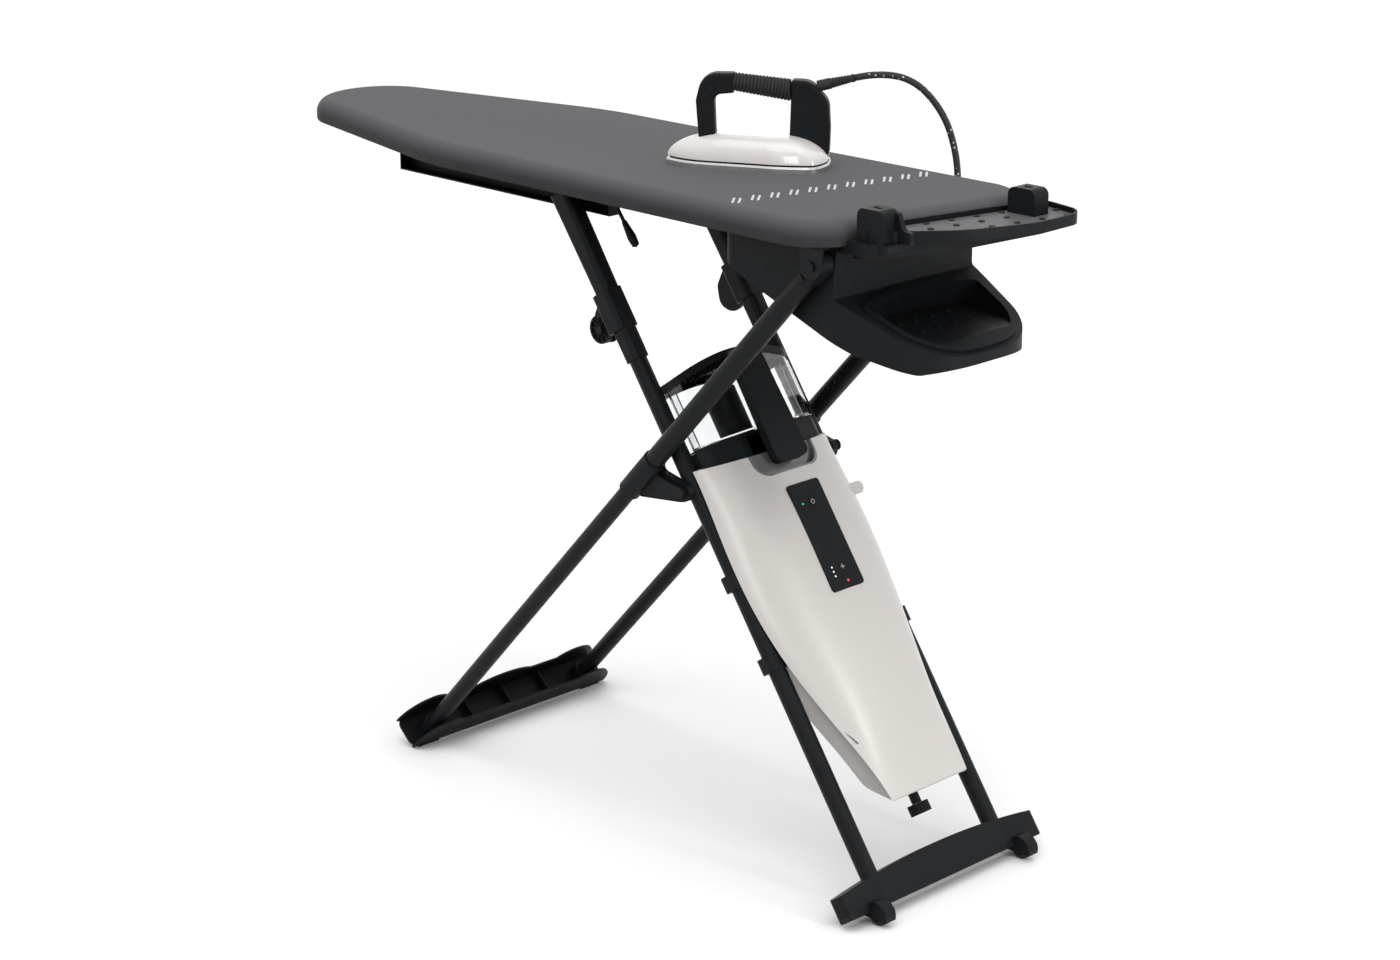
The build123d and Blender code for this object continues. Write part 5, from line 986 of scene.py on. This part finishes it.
class FinishSettings(bpy.types.PropertyGroup):
    """Colours of the finishes, and the pattern of the cloth and of the cord's braid."""

    plastic_colour: bpy.props.FloatVectorProperty(
        name="Plastic", description="Dark moulded plastic", subtype="COLOR", default=(0.008, 0.0092, 0.0105))
    paint_colour: bpy.props.FloatVectorProperty(
        name="Paint", description="Powder coat of the tubes", subtype="COLOR",
        default=(0.0062, 0.0072, 0.0082))
    shell_colour: bpy.props.FloatVectorProperty(
        name="Shell", description="Lacquer of the generator", subtype="COLOR", default=(0.71, 0.675, 0.645))
    cream_colour: bpy.props.FloatVectorProperty(
        name="Cream", description="Cover of the iron", subtype="COLOR", default=(0.80, 0.765, 0.74))
    # The paler grey of the rest's level floor is a painted reflection, not its own colour.
    rest_painted_reflection: bpy.props.FloatVectorProperty(
        name="Rest floor", description="Floor of the iron rest", subtype="COLOR",
        default=(0.12, 0.122, 0.127))
    rubber_colour: bpy.props.FloatVectorProperty(
        name="Rubber", description="Rubber parts", subtype="COLOR", default=(0.007, 0.007, 0.0078))
    recess_colour: bpy.props.FloatVectorProperty(
        name="Recess", description="Dish behind the handle", subtype="COLOR", default=(0.19, 0.19, 0.195))
    cloth_colour: bpy.props.FloatVectorProperty(
        name="Cloth", description="Cover of the board", subtype="COLOR", default=(0.094, 0.0955, 0.102))
    cord_colour: bpy.props.FloatVectorProperty(
        name="Cord", description="Braid of the cord", subtype="COLOR", default=(0.008, 0.008, 0.0086))
    weave_pitch: bpy.props.FloatProperty(
        name="Weave pitch", description="Distance between threads", default=0.0011, unit="LENGTH")
    braid_rate: bpy.props.FloatProperty(
        name="Braid rate", description="Strand crossings in a metre of cord", default=330.0)
    braid_strands: bpy.props.FloatProperty(
        name="Braid strands", description="Strands round the cord", default=8.0)
    # The pale flecks of the cord are painted highlights.
    glint_rate: bpy.props.FloatProperty(
        name="Fleck rate", description="Pale flecks in a metre of cord", default=150.0)
    glints_round: bpy.props.FloatProperty(
        name="Flecks round", description="Pale flecks round the cord", default=4.0)


# The stage

class StageSettings(bpy.types.PropertyGroup):
    """Camera, floor and sky."""

    camera_place: bpy.props.FloatVectorProperty(
        name="Camera", description="Camera place on the drawing", unit="LENGTH",
        default=(3.6617, -2.9044, 1.7788))
    camera_yaw: bpy.props.FloatProperty(
        name="Yaw", description="Turn to the left of +Y", default=math.radians(44.878), unit="ROTATION")
    camera_drop: bpy.props.FloatProperty(
        name="Drop", description="Angle below the horizon", default=math.radians(17.713), unit="ROTATION")
    lens: bpy.props.FloatProperty(
        name="Lens", description="Focal length in millimetres", default=78.97)
    floor_size: bpy.props.FloatProperty(
        name="Floor", description="Half the side of the floor", default=40.0, unit="LENGTH")
    floor_colour: bpy.props.FloatVectorProperty(
        name="Floor colour", description="Colour of the floor", subtype="COLOR", default=(1.0, 1.0, 1.0))
    floor_return: bpy.props.FloatProperty(
        name="Floor return", description="Share of its light that the floor gives back", default=0.22)
    horizon: bpy.props.FloatProperty(
        name="Horizon", description="Strength of the light from the horizon", default=0.06)
    zenith: bpy.props.FloatProperty(
        name="Zenith", description="Strength of the light from overhead", default=1.5)


SENSOR_WIDTH = 36.0
CAMERA_REACH = 200.0

# The lamps: places and sizes in metres, powers in watts. All of them point at the middle of the part.
Lamp = namedtuple("Lamp", "name place width height power")
LAMPS = (
    Lamp("key", (0.6, -1.0, 4.4), width=2.6, height=2.6, power=25.0),
    Lamp("back", (-2.6, 2.6, 2.4), width=2.4, height=2.4, power=8.0),
    Lamp("left_strip", (1.8, -2.4, 2.0), width=0.3, height=1.6, power=8.0),
    Lamp("right_strip", (3.2, 0.2, 1.1), width=0.4, height=1.8, power=20.0),
)
PART_MIDDLE = (0.0, 0.0, 0.55)


def looked_at(tree):
    """One where the camera, a reflection or a clear piece shows a surface, and zero where the surface only
    gives light."""
    path = tree.nodes.new("ShaderNodeLightPath")
    seen = path.outputs["Is Camera Ray"]
    for name in ("Is Glossy Ray", "Is Transmission Ray"):
        larger = tree.nodes.new("ShaderNodeMath")
        larger.operation = "MAXIMUM"
        tree.links.new(seen, larger.inputs[0])
        tree.links.new(path.outputs[name], larger.inputs[1])
        seen = larger.outputs[0]
    return seen


def make_floor(settings):
    """A flat square at floor height: white with faint mottling where it is seen, and a dull grey where it
    only gives light back."""
    half = settings.floor_size
    corners = [(-half, -half, 0), (half, -half, 0), (half, half, 0), (-half, half, 0)]
    mesh = bpy.data.meshes.new("floor")
    mesh.from_pydata(corners, [], [tuple(range(len(corners)))])
    floor = bpy.data.objects.new("floor", mesh)
    bpy.context.collection.objects.link(floor)
    s = Shader("pale_floor")
    white = tuple(settings.floor_colour)
    mottled = s.tones(s.noise(scale=3.0), white, dark=0.995, light=1.0)
    s.colour(s.blend(looked_at(s.tree), shade(white, settings.floor_return), mottled))
    s.set(Roughness=0.9, Specular_IOR_Level=0.1)
    mesh.materials.append(s.material)


def make_sky(settings):
    """White where it is seen; as a light it is stronger overhead than at the horizon."""
    world = bpy.data.worlds.new("studio")
    bpy.context.scene.world = world
    world.use_nodes = True
    tree = world.node_tree
    back = tree.nodes["Background"]
    place = tree.nodes.new("ShaderNodeTexCoord")
    parts = tree.nodes.new("ShaderNodeSeparateXYZ")
    tree.links.new(place.outputs["Generated"], parts.inputs[0])
    light = tree.nodes.new("ShaderNodeMapRange")
    light.inputs["To Min"].default_value = settings.horizon
    light.inputs["To Max"].default_value = settings.zenith
    tree.links.new(parts.outputs["Z"], light.inputs["Value"])
    shown = tree.nodes.new("ShaderNodeMapRange")
    shown.inputs["To Max"].default_value = 1.0
    tree.links.new(looked_at(tree), shown.inputs["Value"])
    tree.links.new(light.outputs["Result"], shown.inputs["To Min"])
    tree.links.new(shown.outputs["Result"], back.inputs["Strength"])
    back.inputs["Color"].default_value = (1, 1, 1, 1)


def make_lamp(lamp):
    """A rectangular soft lamp that points at the middle of the part."""
    light = bpy.data.lights.new(lamp.name, "AREA")
    light.shape = "RECTANGLE"
    light.size = lamp.width
    light.size_y = lamp.height
    light.energy = lamp.power
    stand = bpy.data.objects.new(lamp.name, light)
    stand.location = lamp.place
    direction = np.array(PART_MIDDLE) - np.array(lamp.place)
    stand.rotation_euler = (
        math.atan2(math.hypot(direction[0], direction[1]), -direction[2]),
        0,
        math.atan2(direction[1], direction[0]) - math.pi / 2,
    )
    bpy.context.collection.objects.link(stand)


class IRONING_OT_stage(bpy.types.Operator):
    """Make the floor, the lamps, the sky and the camera"""

    bl_idname = "ironing.stage"
    bl_label = "Stage"

    def execute(self, context):
        """The camera stands as in the photograph; the lamps are large and soft."""
        settings = context.scene.ironing_stage
        scene = context.scene
        scene.view_settings.view_transform = "Standard"
        make_floor(settings)
        make_sky(settings)
        for lamp in LAMPS:
            make_lamp(lamp)
        camera = bpy.data.cameras.new("camera")
        camera.sensor_width = SENSOR_WIDTH
        camera.lens = settings.lens
        camera.clip_end = CAMERA_REACH
        stand = bpy.data.objects.new("camera", camera)
        place = np.array(settings.camera_place)
        stand.location = (NOSE_X + place[0], place[1], place[2])
        stand.rotation_euler = (math.pi / 2 - settings.camera_drop, 0, settings.camera_yaw)
        scene.collection.objects.link(stand)
        scene.camera = stand
        return {"FINISHED"}


# The add-on

class IRONING_PT_panel(bpy.types.Panel):
    """The sidebar list of the pieces that can be made"""

    bl_label = "Ironing system"
    bl_idname = "IRONING_PT_panel"
    bl_space_type = "VIEW_3D"
    bl_region_type = "UI"
    bl_category = "Ironing"

    def draw(self, context):
        """One button for each operator, and the settings of each group."""
        for operator in OPERATORS:
            self.layout.operator(operator.bl_idname)
        for group in SETTINGS:
            held = getattr(context.scene, group)
            for name in held.__annotations__:
                self.layout.prop(held, name)


SETTINGS = {
    "ironing_cover": CoverSettings,
    "ironing_marks": MarkSettings,
    "ironing_cord": CordSettings,
    "ironing_finish": FinishSettings,
    "ironing_stage": StageSettings,
}
OPERATORS = (
    IRONING_OT_finish,
    IRONING_OT_cover,
    IRONING_OT_marks,
    IRONING_OT_cord,
    IRONING_OT_icons,
    IRONING_OT_stage,
)


def register():
    """Registers the classes and hangs the settings on the scene."""
    for group in SETTINGS.values():
        bpy.utils.register_class(group)
    for name, group in SETTINGS.items():
        setattr(bpy.types.Scene, name, bpy.props.PointerProperty(type=group))
    for operator in OPERATORS:
        bpy.utils.register_class(operator)
    bpy.utils.register_class(IRONING_PT_panel)


def unregister():
    """Takes the classes and settings away again."""
    bpy.utils.unregister_class(IRONING_PT_panel)
    for operator in reversed(OPERATORS):
        bpy.utils.unregister_class(operator)
    for name, group in SETTINGS.items():
        delattr(bpy.types.Scene, name)
        bpy.utils.unregister_class(group)


def main():
    """Makes every piece."""
    register()
    bpy.ops.ironing.finish()
    bpy.ops.ironing.cover()
    bpy.ops.ironing.marks()
    bpy.ops.ironing.cord()
    bpy.ops.ironing.icons()
    bpy.ops.ironing.stage()


if __name__ == "__main__":
    main()
